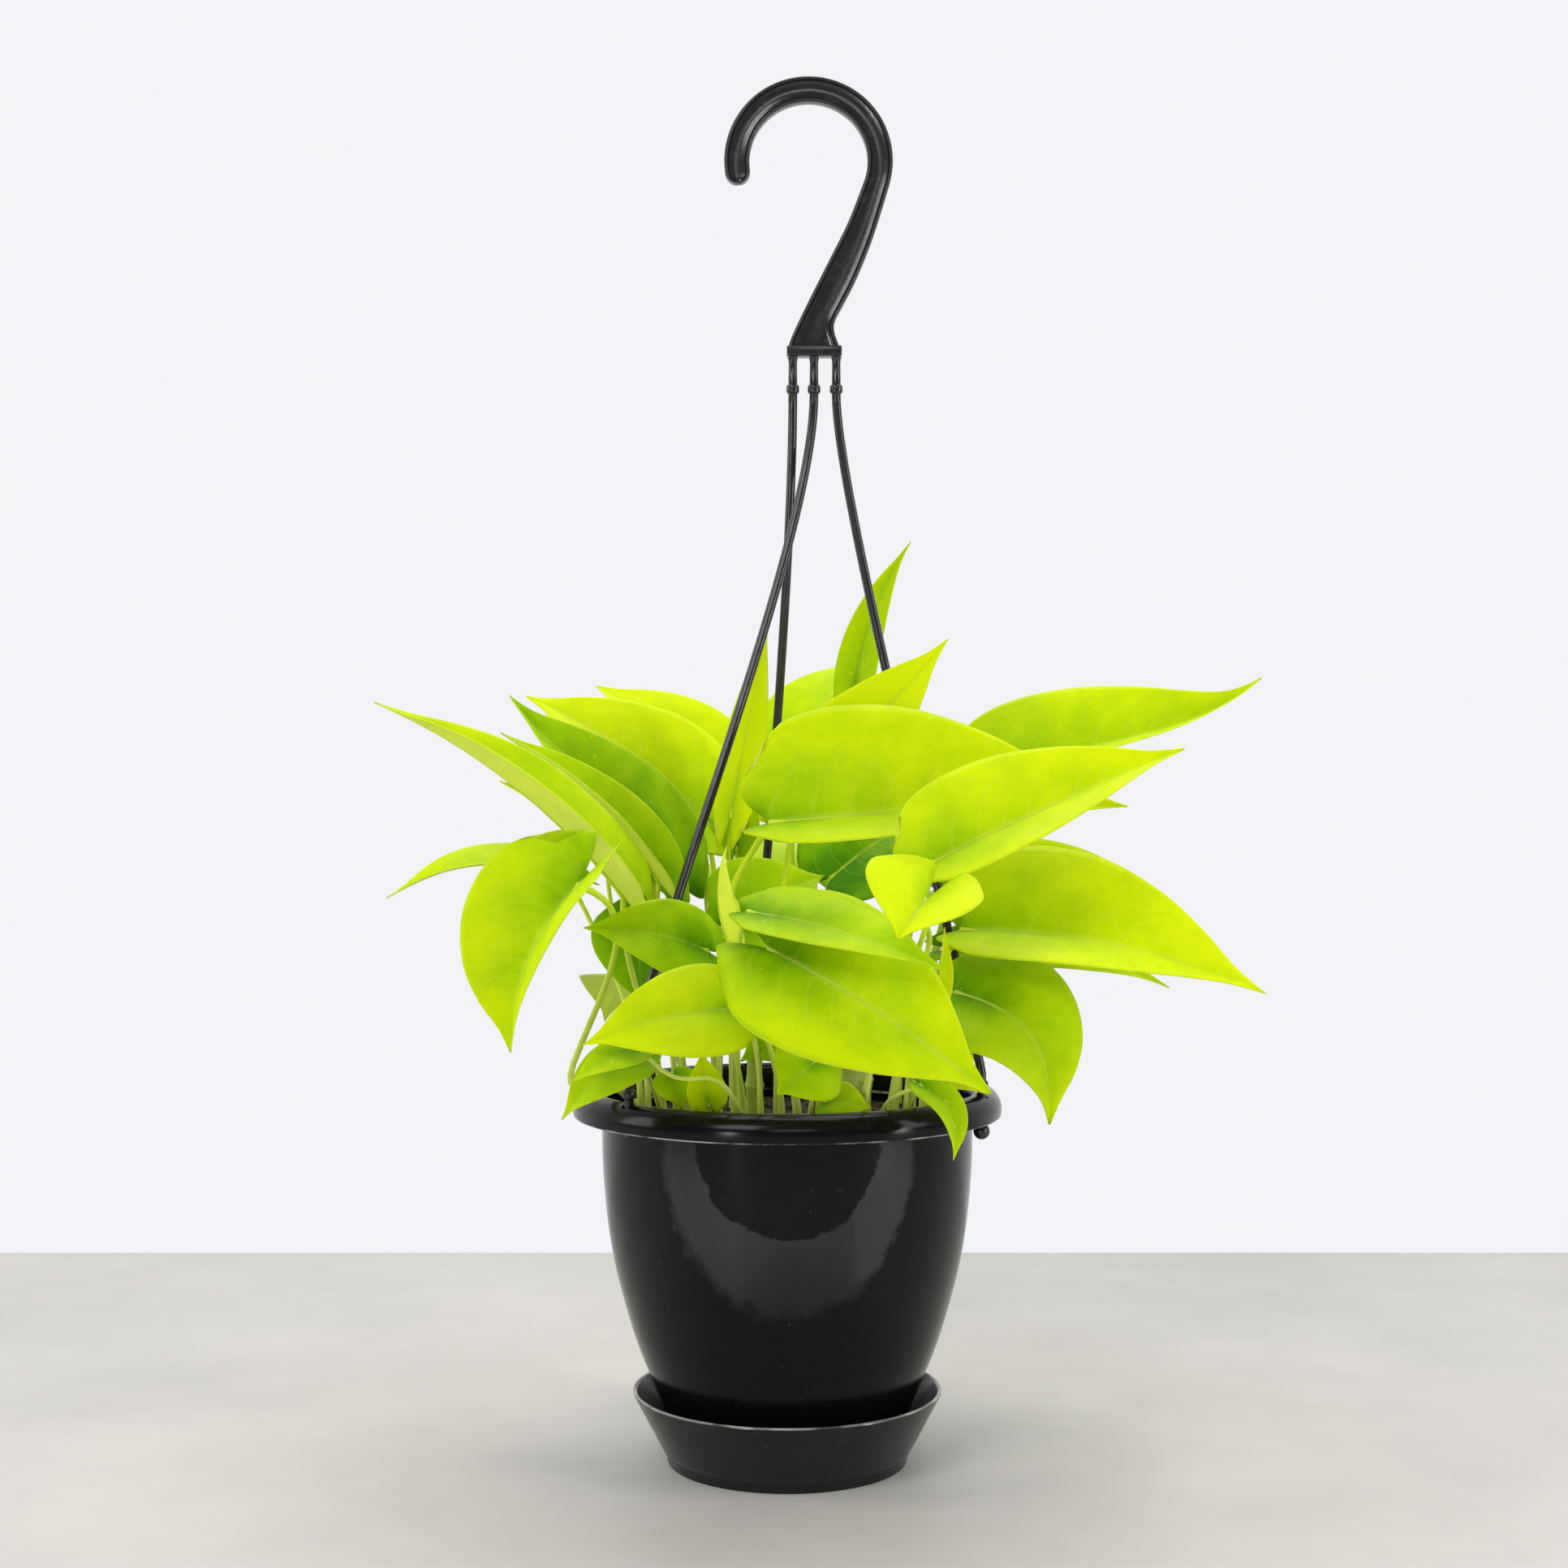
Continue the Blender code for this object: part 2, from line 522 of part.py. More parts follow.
class Blade:
    """The surface of one leaf, in metres: point(share, side) has share 0 at the base and side -1 to 1."""

    def __init__(self, leaf):
        self.leaf = leaf
        self.base, self.tip = mm(*leaf["base"]), mm(*leaf["tip"])
        self.length = (self.tip - self.base).length
        self.axis = (self.tip - self.base).normalized()
        face = Vector(leaf["face"])
        self.up = (face - self.axis * face.dot(self.axis)).normalized()
        self.side = self.axis.cross(self.up)

    def midrib(self, share):
        leaf = self.leaf
        bow = 4 * share * (1 - share)
        late = 6.75 * share**2 * (1 - share)
        rise = mm(leaf["arch"] * bow + leaf.get("flick", 0) * late)
        across = mm(leaf.get("sway", 0) * bow)
        return self.base + self.axis * self.length * share + self.up * rise + self.side * across

    def point(self, share, side):
        leaf = self.leaf
        ahead = (self.midrib(min(share + 0.02, 1)) - self.midrib(max(share - 0.02, 0))).normalized()
        up = (self.up - ahead * self.up.dot(ahead)).normalized()
        across = ahead.cross(up)
        half = mm(leaf["width"] / 2)
        out = abs(side) * half * outline_share(share) * leaf.get("halves", (1, 1))[side > 0]
        fold = math.radians(leaf["fold"])
        lift = out * math.sin(fold) - leaf.get("curl", 0.16) * out * out / half
        lobe = leaf.get("lobe", 0.17) * self.length * math.sin(0.88 * math.pi * abs(side)) * (1 - share) ** 4
        spread = out * math.cos(fold) * (1 if side > 0 else -1)
        return self.midrib(share) + across * spread + up * lift - ahead * lobe


def blade_surface(blade, rows, half_columns):
    """An open grid mesh of the blade."""
    columns = 2 * half_columns + 1
    shares = [(row / rows) ** 0.9 for row in range(rows + 1)]
    sides = [column / half_columns - 1 for column in range(columns)]
    points = [blade.point(share, side) for share in shares for side in sides]
    faces = []
    for row in range(rows):
        for column in range(columns - 1):
            corner = row * columns + column
            faces.append((corner, corner + 1, corner + columns + 1, corner + columns))
    made = bpy.data.meshes.new(blade.leaf["name"])
    made.from_pydata(points, [], faces)
    return made


def petiole_line(blade):
    """Places and radii up a petiole, from the soil to a little way along the midrib."""
    leaf = blade.leaf
    slope = (blade.midrib(0.06) - blade.base).normalized()
    root = mm(*leaf["root"], SOIL_LEVEL + SOIL_MOUND + CLEARANCE)
    reach = (blade.base - root).length
    knee = blade.base - (slope * 0.5 + blade.up * 0.65 + Vector((0, 0, 0.3))) * leaf.get("bend", 0.3) * reach
    radius = PETIOLE_RADIUS * (0.55 + 0.45 * min(leaf["width"] / LARGE_WIDTH, 1.15))
    if "via" in leaf:
        via = mm(*leaf["via"])
        leave = root.lerp(via, 0.4) + Vector((0, 0, 0.18 * reach))
        corners = (root, leave, 2 * via - knee.lerp(via, 0.35), via)
        lower = [bezier(corners, step / 4) for step in range(4)]
        leave = via + (via - corners[2]) * 0.9
        upper = [bezier((via, leave, knee, blade.base), step / 5) for step in range(6)]
        places = lower + upper
    else:
        rise = root + Vector((0, 0, 0.42 * reach))
        steps = PETIOLE_POINTS - 1
        places = [bezier((root, rise, knee, blade.base), step / steps) for step in range(PETIOLE_POINTS)]
    shares = [step / (len(places) - 1) for step in range(len(places))]
    radii = [radius * (1.45 - 0.55 * min(share * 3, 1)) for share in shares]
    places.append(blade.midrib(0.05))
    radii.append(radius * 0.7)
    return places, radii


def build_leaf(leaf, parts, cutters, finish):
    blade = Blade(leaf)
    made = link(leaf["name"], blade_surface(blade, BLADE_ROWS, BLADE_HALF_COLUMNS), parts, finish)
    skin = made.modifiers.new("Thickness", "SOLIDIFY")
    skin.thickness = mm(BLADE_THICKNESS)
    skin.offset = 0
    places, radii = petiole_line(blade)
    stalk = tube("stalk_" + leaf["name"], places, radii, cutters, sides=0)
    bpy.context.view_layer.update()
    stalk_mesh = mesh_from(stalk, "stalk_" + leaf["name"])
    unite(made, helper(link("stalk_" + leaf["name"], stalk_mesh, cutters)), "Petiole")


def build_stem(stem, parts, finish):
    foot = mm(*stem["foot"], SOIL_LEVEL + SOIL_MOUND + CLEARANCE)
    top = mm(*stem["top"])
    swells = (1.15, 1.0, 0.96, 1.18, 0.98, 0.95, 1.14, 0.92)
    places = [foot.lerp(top, step / (len(swells) - 1)) for step in range(len(swells))]
    made = tube(stem["name"], places, [stem["radius"] * swell for swell in swells], parts, sides=2)
    made.data.materials.append(finish)


def main():
    for old in list(bpy.data.objects):
        bpy.data.objects.remove(old)
    scene = bpy.context.scene.collection
    parts = bpy.data.collections.new("potted_pothos")
    cutters = bpy.data.collections.new("cutters")
    scene.children.link(parts)
    scene.children.link(cutters)

    gloss_black = material("pot_plastic", (0.012, 0.012, 0.013), 0.22)
    satin_black = material("hanger_plastic", (0.02, 0.02, 0.021), 0.34)
    earth = material("potting_soil", (0.045, 0.026, 0.016), 0.95)
    lime = material("leaf", (0.52, 0.72, 0.01), 0.38)
    stem_green = material("stem", (0.42, 0.52, 0.05), 0.5)

    build_saucer(parts, gloss_black)
    build_pot(parts, cutters, gloss_black)
    build_soil(parts, earth)
    build_hook(parts, cutters, satin_black)
    for side in HANGER_ANGLES:
        build_strand(side, parts, satin_black)
    for stem in STEMS:
        build_stem(stem, parts, stem_green)
    for leaf in LEAVES:
        build_leaf(leaf, parts, cutters, lime)


main()
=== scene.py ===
import bpy
import bmesh
import math
import random
import numpy as np
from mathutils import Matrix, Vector, noise


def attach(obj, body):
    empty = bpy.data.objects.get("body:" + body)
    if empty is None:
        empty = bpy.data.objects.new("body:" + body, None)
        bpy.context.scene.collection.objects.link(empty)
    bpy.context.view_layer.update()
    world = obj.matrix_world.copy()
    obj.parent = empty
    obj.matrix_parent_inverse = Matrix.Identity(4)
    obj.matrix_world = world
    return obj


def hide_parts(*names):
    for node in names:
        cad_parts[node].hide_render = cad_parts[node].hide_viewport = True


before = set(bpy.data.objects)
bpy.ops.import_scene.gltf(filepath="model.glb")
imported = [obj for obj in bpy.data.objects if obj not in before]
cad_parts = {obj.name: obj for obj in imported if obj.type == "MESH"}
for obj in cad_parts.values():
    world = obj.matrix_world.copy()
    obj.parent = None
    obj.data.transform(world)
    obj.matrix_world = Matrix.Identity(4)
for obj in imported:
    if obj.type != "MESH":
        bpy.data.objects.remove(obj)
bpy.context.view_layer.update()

# everything below is in millimetres until a point goes into a mesh
mm = 0.001
random.seed(11)


# level, looking along +Y
camera = {"place": (-0.0013, -0.915, 0.267), "lens": 53, "sensor": 36, "nearest": 0.01}
lights = {
    # name: place, aimed at, size across and up, watts, colour
    "keyBox": ((-0.75, -1.3, 1.5), (0, 0, 0.22), (0.7, 0.7), 11.5, (1, 0.99, 0.97)),
    "leftStrip": ((-0.8, -1.4, 0.28), (0, 0, 0.12), (0.14, 0.55), 4.4, (1, 1, 1)),
    "highBox": ((0.1, -2, 1.3), (0, 0, 0.45), (0.8, 0.35), 3.5, (1, 1, 1)),
    "rightStrip": ((1.2, -0.7, 0.28), (0, 0, 0.12), (0.16, 0.55), 4.6, (1, 1, 1)),
    "rightBox": ((1.25, -0.5, 0.9), (0, 0, 0.2), (0.5, 0.9), 6, (1, 1, 1)),
    "leftBox": ((-1.3, -0.1, 0.7), (0, 0, 0.2), (0.5, 0.9), 5.5, (1, 1, 1)),
    "topBox": ((0.05, 0.35, 1.7), (0, 0, 0.2), (0.9, 0.9), 11, (1, 1, 1)),
}
# the room is bright behind the plant and dark in front of it, where its gloss looks
room = {"tableWidth": 5, "tableBack": 0.4, "tableFront": -2.5,
        "floorColour": (0.62, 0.6, 0.56), "floorPatches": 9, "floorShade": 0.86,
        "wallColour": (0.94, 0.945, 0.97), "behind": 0.95, "inFront": 0.1, "turns": (-0.35, 0.55)}


def deselectAll():
    if bpy.context.mode != "OBJECT":
        bpy.ops.object.mode_set(mode="OBJECT")
    bpy.ops.object.select_all(action="DESELECT")


def newMaterial(name, colour, roughness, **sockets):
    made = bpy.data.materials.new(name)
    made.use_nodes = True
    shader = made.node_tree.nodes["Principled BSDF"]
    shader.inputs["Base Color"].default_value = (*colour, 1)
    shader.inputs["Roughness"].default_value = roughness
    for socket, value in sockets.items():
        shader.inputs[socket].default_value = value
    return made, made.node_tree, shader


def addNode(tree, kind, **settings):
    node = tree.nodes.new(kind)
    for key, value in settings.items():
        if key in node.inputs:
            node.inputs[key].default_value = value
        else:
            setattr(node, key, value)
    return node


# noise on object coordinates
def objectNoise(tree, scale, detail=3, roughness=0.55, stretch=(1, 1, 1)):
    place = addNode(tree, "ShaderNodeTexCoord")
    mapping = addNode(tree, "ShaderNodeMapping")
    mapping.inputs["Scale"].default_value = stretch
    cloud = addNode(tree, "ShaderNodeTexNoise", Scale=scale, Detail=detail, Roughness=roughness)
    tree.links.new(place.outputs["Object"], mapping.inputs["Vector"])
    tree.links.new(mapping.outputs["Vector"], cloud.inputs["Vector"])
    return cloud.outputs["Fac"]


def remap(tree, value, fromLow, fromHigh, toLow, toHigh):
    limits = {"From Min": fromLow, "From Max": fromHigh, "To Min": toLow, "To Max": toHigh}
    node = addNode(tree, "ShaderNodeMapRange", **limits)
    tree.links.new(value, node.inputs["Value"])
    return node.outputs["Result"]


# noise of this scale and detail, with part of its range spread over another
def noiseBand(tree, scale, detail, *limits):
    return remap(tree, objectNoise(tree, scale, detail), *limits)


# one sum on two values, each a number or a socket
def calc(tree, operation, first, second=None):
    node = addNode(tree, "ShaderNodeMath", operation=operation)
    for socket, value in zip(node.inputs, (first, second)):
        if value is None:
            continue
        if isinstance(value, (int, float)):
            socket.default_value = value
        else:
            tree.links.new(value, socket)
    return node.outputs[0]


def times(tree, first, second):
    return calc(tree, "MULTIPLY", first, second)


def plus(tree, first, second):
    return calc(tree, "ADD", first, second)


def awayFrom(tree, value, middle):
    return calc(tree, "ABSOLUTE", calc(tree, "SUBTRACT", value, middle))


# X, Y and Z of the surface on the given coordinates
def splitAxes(tree, source="Object"):
    place = addNode(tree, "ShaderNodeTexCoord")
    split = addNode(tree, "ShaderNodeSeparateXYZ")
    tree.links.new(place.outputs[source], split.inputs[0])
    return split.outputs


def blendColours(tree, share, first, second):
    node = addNode(tree, "ShaderNodeMix", data_type="RGBA")
    tree.links.new(share, node.inputs["Factor"])
    sockets = [s for s in node.inputs if s.type == "RGBA"]
    for socket, value in zip(sockets, (first, second)):
        if isinstance(value, tuple):
            socket.default_value = (*value, 1)
        else:
            tree.links.new(value, socket)
    return [s for s in node.outputs if s.type == "RGBA"][0]


def paint(tree, shader, colour):
    tree.links.new(colour, shader.inputs["Base Color"])


def bumpFrom(tree, shader, height, strength, distance):
    node = addNode(tree, "ShaderNodeBump", Strength=strength, Distance=distance)
    tree.links.new(height, node.inputs["Height"])
    tree.links.new(node.outputs["Normal"], shader.inputs["Normal"])


def buildStudio():
    lens = bpy.data.cameras.new("camera")
    lens.lens = camera["lens"]
    lens.sensor_width = camera["sensor"]
    lens.clip_start = camera["nearest"]
    eye = bpy.data.objects.new("camera", lens)
    eye.location = camera["place"]
    eye.rotation_euler = (math.radians(90), 0, 0)
    bpy.context.scene.collection.objects.link(eye)
    bpy.context.scene.camera = eye

    for name, (place, target, size, power, colour) in lights.items():
        lamp = bpy.data.lights.new(name, "AREA")
        lamp.shape = "RECTANGLE"
        lamp.size, lamp.size_y = size
        lamp.energy = power
        lamp.color = colour
        holder = bpy.data.objects.new(name, lamp)
        holder.location = place
        holder.rotation_euler = (Vector(target) - Vector(place)).to_track_quat("-Z", "Y").to_euler()
        bpy.context.scene.collection.objects.link(holder)

    world = bpy.data.worlds.new("studio")
    bpy.context.scene.world = world
    world.use_nodes = True
    tree = world.node_tree
    back = tree.nodes["Background"]
    back.inputs["Color"].default_value = (*room["wallColour"], 1)
    glow = remap(tree, splitAxes(tree, "Generated")["Y"], *room["turns"], room["inFront"], room["behind"])
    tree.links.new(glow, back.inputs["Strength"])

    deselectAll()
    bpy.ops.mesh.primitive_plane_add(size=1, location=(0, (room["tableBack"] + room["tableFront"]) / 2, 0))
    floor = bpy.context.object
    floor.scale = (room["tableWidth"], room["tableBack"] - room["tableFront"], 1)
    bpy.ops.object.transform_apply(scale=True)
    floor.name = "floor"
    made, tree, shader = newMaterial("paleFloor", room["floorColour"], 0.6)
    patches = remap(tree, objectNoise(tree, room["floorPatches"], 9, 0.6), 0.3, 0.7, 0, 1)
    light = room["floorColour"]
    dark = tuple(c * room["floorShade"] for c in light)
    paint(tree, shader, blendColours(tree, patches, dark, light))
    floor.data.materials.append(made)
    bpy.context.scene.view_settings.view_transform = "Standard"
    bpy.context.scene.view_settings.look = "None"
    print("studio ready")


def makeActive(piece):
    deselectAll()
    piece.select_set(True)
    bpy.context.view_layer.objects.active = piece


# puts the place into the mesh, ties the piece to its body and hides the CAD node it stands for
def finishPiece(piece, standsFor):
    makeActive(piece)
    bpy.ops.object.transform_apply(location=True, rotation=True, scale=True)
    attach(piece, "root")
    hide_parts(standsFor)


# the first piece keeps its name
def joinPieces(pieces):
    makeActive(pieces[0])
    for piece in pieces:
        piece.select_set(True)
    bpy.ops.object.join()


def applyModifiers(piece):
    makeActive(piece)
    for modifier in list(piece.modifiers):
        bpy.ops.object.modifier_apply(modifier=modifier.name)


# count points on a smooth line through points
def smoothLine(points, count):
    points = [np.array(p, float) for p in points]
    steps = [0]
    for before, after in zip(points, points[1:]):
        steps.append(steps[-1] + float(np.linalg.norm(after - before)) ** 0.5)
    found = []
    for share in np.linspace(0, steps[-1], count):
        i = min(max(int(np.searchsorted(steps, share, side="right")) - 1, 0), len(points) - 2)
        a, b = points[i], points[i + 1]
        before = points[i - 1] if i else 2 * a - b
        after = points[i + 2] if i + 2 < len(points) else 2 * b - a
        t = (share - steps[i]) / (steps[i + 1] - steps[i])
        slopeA, slopeB = (b - before) / 2, (after - a) / 2
        found.append((2 * t**3 - 3 * t**2 + 1) * a + (t**3 - 2 * t**2 + t) * slopeA
                     + (3 * t**2 - 2 * t**3) * b + (t**3 - t**2) * slopeB)
    return found


# a turned piece: a filled ring is extruded and resized along the profile, and fills both ends
def turnedPiece(name, profile, steps):
    deselectAll()
    radius, height = profile[0]
    bpy.ops.mesh.primitive_circle_add(vertices=steps, radius=radius * mm, location=(0, 0, 0))
    piece = bpy.context.object
    piece.name = name
    bpy.ops.object.mode_set(mode="EDIT")
    bpy.ops.mesh.select_all(action="SELECT")
    bpy.ops.transform.translate(value=(0, 0, height * mm))
    bpy.ops.mesh.edge_face_add()
    bpy.ops.mesh.select_all(action="SELECT")
    for (r0, z0), (r1, z1) in zip(profile, profile[1:]):
        bpy.ops.mesh.extrude_region_move(TRANSFORM_OT_translate={"value": (0, 0, (z1 - z0) * mm)})
        bpy.ops.transform.resize(value=(r1 / r0, r1 / r0, 1))
    bpy.ops.object.mode_set(mode="OBJECT")
    return piece


def cleanNormals(piece):
    makeActive(piece)
    bpy.ops.object.mode_set(mode="EDIT")
    bpy.ops.mesh.select_all(action="SELECT")
    bpy.ops.mesh.remove_doubles(threshold=0.00001)
    bpy.ops.mesh.normals_make_consistent(inside=False)
    bpy.ops.object.mode_set(mode="OBJECT")


def smoothShade(piece, angle=40):
    makeActive(piece)
    bpy.ops.object.shade_smooth_by_angle(angle=math.radians(angle))


# round holes along Z, each place being the middle of a hole
def punchHoles(piece, places, radius, length):
    for place in places:
        deselectAll()
        bpy.ops.mesh.primitive_cylinder_add(vertices=32, radius=radius * mm, depth=length * mm,
                                            location=Vector(place) * mm)
        punch = bpy.context.object
        cut = piece.modifiers.new("hole", "BOOLEAN")
        cut.operation = "DIFFERENCE"
        cut.object = punch
        makeActive(piece)
        bpy.ops.object.modifier_apply(modifier=cut.name)
        bpy.data.objects.remove(punch)


potShape = {
    "foot": 42, "footHeight": 2.35, "wall": 1.7, "floor": 2.2,
    "body": [(46, 13), (48.2, 20), (54.9, 36), (59.6, 48), (63.6, 61), (67.8, 77), (70.9, 95), (72.6, 113),
             (73.2, 127)],
    "lipRadius": 84.6, "lipTop": 147.3,
    "drainHoles": 5, "drainRadius": 3.5, "drainCircle": 26, "holeDepth": 9,
    "steps": 128, "bodySteps": 40, "lipSteps": 44, "underSteps": 20,
    "axisGap": 2,  # radius of the small flat filled at the axis
    # marks on the front: height of the top, half width, drop, softness of the edge
    "film": (132, 46, 61, 0.09), "clean": (134, 34, 34, 0.02), "marksTop": 136.2,
    "scuffHeight": 136.9, "scuffWidth": 0.5,
}
saucerShape = {
    "foot": 47.5, "footHeight": 4.4, "rim": 61, "height": 28.3, "wall": 1.6, "floor": 2, "steps": 128,
    "scuff": (27.6, 28.2),
}
hangerShape = {
    "angles": {"left": -138.6, "right": -18.6, "back": 101.4},  # round the lip, degrees
    "circle": 79, "strand": 1.8, "holePlay": 0.8,
    "ball": 3.2, "rimCollar": 151, "topCollar": 423.4,
    # down the bar from the middle of a collar, and the swell there
    "collar": [(-1.9, 1), (-1.7, 1.1), (-1.45, 1.33), (-1.1, 1.42), (1.1, 1.42), (1.45, 1.33), (1.7, 1.1),
               (1.9, 1)],
    "ballHeights": {"left": 138.2, "right": 133.2, "back": 138.2},
    "tops": {"back": 2.2, "left": 10.6, "right": 19.4},  # X of each strand under the hook's bar
    "bow": {"back": (0.30, 0), "left": (0.22, 0.12), "right": (0.16, 0.03)},
    "barSteps": 40, "ballSteps": 10, "gap": 0.35,  # gap under the hook's bar
}


def hangerPoint(side, height):
    turn = math.radians(hangerShape["angles"][side])
    return (hangerShape["circle"] * math.cos(turn), hangerShape["circle"] * math.sin(turn), height)


def potPlastic():
    made, tree, shader = newMaterial("potPlastic", (0.006, 0.006, 0.0065), 0.3)
    shader.inputs["Specular IOR Level"].default_value = 0.15
    axes = splitAxes(tree)
    # water marks on the front: a dull film with a ragged edge, and a clean patch in it
    ragged = remap(tree, objectNoise(tree, 120, 9, 0.66), 0.3, 0.7, -0.1, 0.1)
    film = potMarks(tree, axes, ragged, *potShape["film"])
    clean = potMarks(tree, axes, ragged, *potShape["clean"])
    film = times(tree, film, calc(tree, "SUBTRACT", 1, clean))
    fine = objectNoise(tree, 420, 3)
    rough = plus(tree, remap(tree, clean, 0, 1, 0.16, 0.05), times(tree, film, 0.04))
    tree.links.new(plus(tree, rough, remap(tree, fine, 0.3, 0.7, 0, 0.04)), shader.inputs["Roughness"])
    smearAndReflection = remap(tree, objectNoise(tree, 26, 3, 0.5, (1, 1, 0.4)), 0.35, 0.7, 0.55, 0.95)
    # the film is lighter in two upright bands of painted reflection, and all of it is fainter towards the
    # foot
    paintedReflectionRight = remap(tree, awayFrom(tree, axes["X"], 0.037), 0, 0.014, 1.5, 0)
    paintedReflectionLeft = remap(tree, awayFrom(tree, axes["X"], -0.02), 0, 0.018, 0.45, 0)
    smearAndReflection = plus(tree, smearAndReflection, plus(tree, paintedReflectionRight, paintedReflectionLeft))
    smearAndReflection = times(tree, smearAndReflection, remap(tree, axes["Z"], 0.072, 0.1, 0.5, 1))
    # the lighter film colour carries the painted reflection bands as well as the film itself
    base = blendColours(tree, times(tree, film, smearAndReflection), (0.004, 0.004, 0.0045), (0.036, 0.037, 0.04))
    streak = remap(tree, objectNoise(tree, 300, 3, 0.6, (0.2, 0.2, 4)), 0.4, 0.7, 0, 0.6)
    base = blendColours(tree, times(tree, clean, streak), base, (0.002, 0.005, 0.008))
    dust = noiseBand(tree, 620, 2, 0.68, 0.78, 0, 0.5)
    worn = blendColours(tree, dust, base, (0.06, 0.06, 0.058))
    # scuffed light line along the turned edge of the lip
    fromEdge = awayFrom(tree, axes["Z"], potShape["scuffHeight"] * mm)
    nearEdge = calc(tree, "LESS_THAN", fromEdge, potShape["scuffWidth"] * mm)
    broken = noiseBand(tree, 55, 5, 0.42, 0.56, 0.05, 0.8)
    scuff = times(tree, nearEdge, broken)
    paint(tree, shader, blendColours(tree, scuff, worn, (0.5, 0.5, 0.47)))
    bumpFrom(tree, shader, objectNoise(tree, 160, 2), 0.05, 0.0005)
    return made


# 1 inside a hanging half ellipse on the front of the pot, 0 outside it
def potMarks(tree, axes, ragged, height, halfWidth, drop, softness):
    wide = times(tree, axes["X"], 1 / (halfWidth * mm))
    low = times(tree, calc(tree, "SUBTRACT", height * mm, axes["Z"]), 1 / (drop * mm))
    reach = plus(tree, times(tree, wide, wide), times(tree, low, low))
    inside = remap(tree, plus(tree, reach, ragged), 1 - softness, 1 + softness, 1, 0)
    onBody = calc(tree, "LESS_THAN", axes["Z"], potShape["marksTop"] * mm)
    return times(tree, inside, times(tree, onBody, calc(tree, "LESS_THAN", axes["Y"], 0)))


def saucerPlastic():
    made, tree, shader = newMaterial("saucerPlastic", (0.006, 0.006, 0.007), 0.2)
    shader.inputs["Specular IOR Level"].default_value = 0.36
    cloud = objectNoise(tree, 45, 6, 0.6)
    tree.links.new(remap(tree, cloud, 0.35, 0.7, 0.14, 0.34), shader.inputs["Roughness"])
    axes = splitAxes(tree)
    low, high = saucerShape["scuff"]
    nearRim = remap(tree, axes["Z"], low * mm, high * mm, 0, 1)
    broken = noiseBand(tree, 60, 5, 0.38, 0.56, 0.15, 0.9)
    scuff = times(tree, nearRim, broken)
    dust = noiseBand(tree, 380, 4, 0.6, 0.75, 0, 0.6)
    dusty = blendColours(tree, dust, (0.006, 0.006, 0.007), (0.03, 0.029, 0.026))
    paint(tree, shader, blendColours(tree, scuff, dusty, (0.5, 0.48, 0.45)))
    bumpFrom(tree, shader, objectNoise(tree, 240, 3), 0.08, 0.0004)
    return made


def buildPot():
    p = potShape
    wall, top, bottom = p["wall"], p["lipTop"], p["footHeight"]
    outer = [tuple(q) for q in smoothLine([(44, 7)] + p["body"], p["bodySteps"])]
    inner = [(r - wall, z) for r, z in outer]
    edge = p["lipRadius"]
    # from the middle of the inside floor, up the inside, over the lip and down the outside
    profile = [(p["axisGap"], bottom + p["floor"]), (p["foot"] - wall - 1, bottom + p["floor"])]
    profile += [(p["foot"] - wall, bottom + p["floor"] + 0.8)] + inner[1:]
    over = [(71.5, 135.3), (71.7, 140), (72.3, 144.1), (73.6, 145.9), (75.4, 146.9), (77.4, top),
            (79.6, 146.9), (81.8, 145.7), (83.5, 143.7), (edge - 0.15, 141.4), (edge, 139.4),
            (edge - 0.05, 137.9)]
    profile += [tuple(q) for q in smoothLine(over, p["lipSteps"])]
    profile += [(edge - 0.25, 137.1), (edge - 0.8, 136.8), (edge - 1.4, 137.1), (edge - 1.7, 137.9)]
    under = [(edge - 1.7, 139.6), (82.2, 141.6), (80.6, 143.6), (78.4, 144.8), (76.2, 144.9), (74.4, 143.4),
             (73.4, 140), (73.2, 134.5)]
    profile += [tuple(q) for q in smoothLine(under, p["underSteps"])]
    profile += outer[::-1][1:]
    profile += [(p["foot"] + 0.4, bottom + 0.5), (p["foot"] - 0.4, bottom), (p["axisGap"], bottom)]
    pot = turnedPiece("potShell", profile, p["steps"])
    cleanNormals(pot)
    holes = []
    for number in range(p["drainHoles"]):
        turn = 2 * math.pi * (number + 0.25) / p["drainHoles"]
        holes.append((p["drainCircle"] * math.cos(turn), p["drainCircle"] * math.sin(turn), bottom + 1))
    punchHoles(pot, holes, p["drainRadius"], p["holeDepth"])
    strandHoles = [hangerPoint(side, top - 2) for side in hangerShape["angles"]]
    punchHoles(pot, strandHoles, hangerShape["strand"] + hangerShape["holePlay"], p["holeDepth"])
    pot.data.materials.append(potPlastic())
    smoothShade(pot, 35)
    finishPiece(pot, "pot")
    print("pot done")


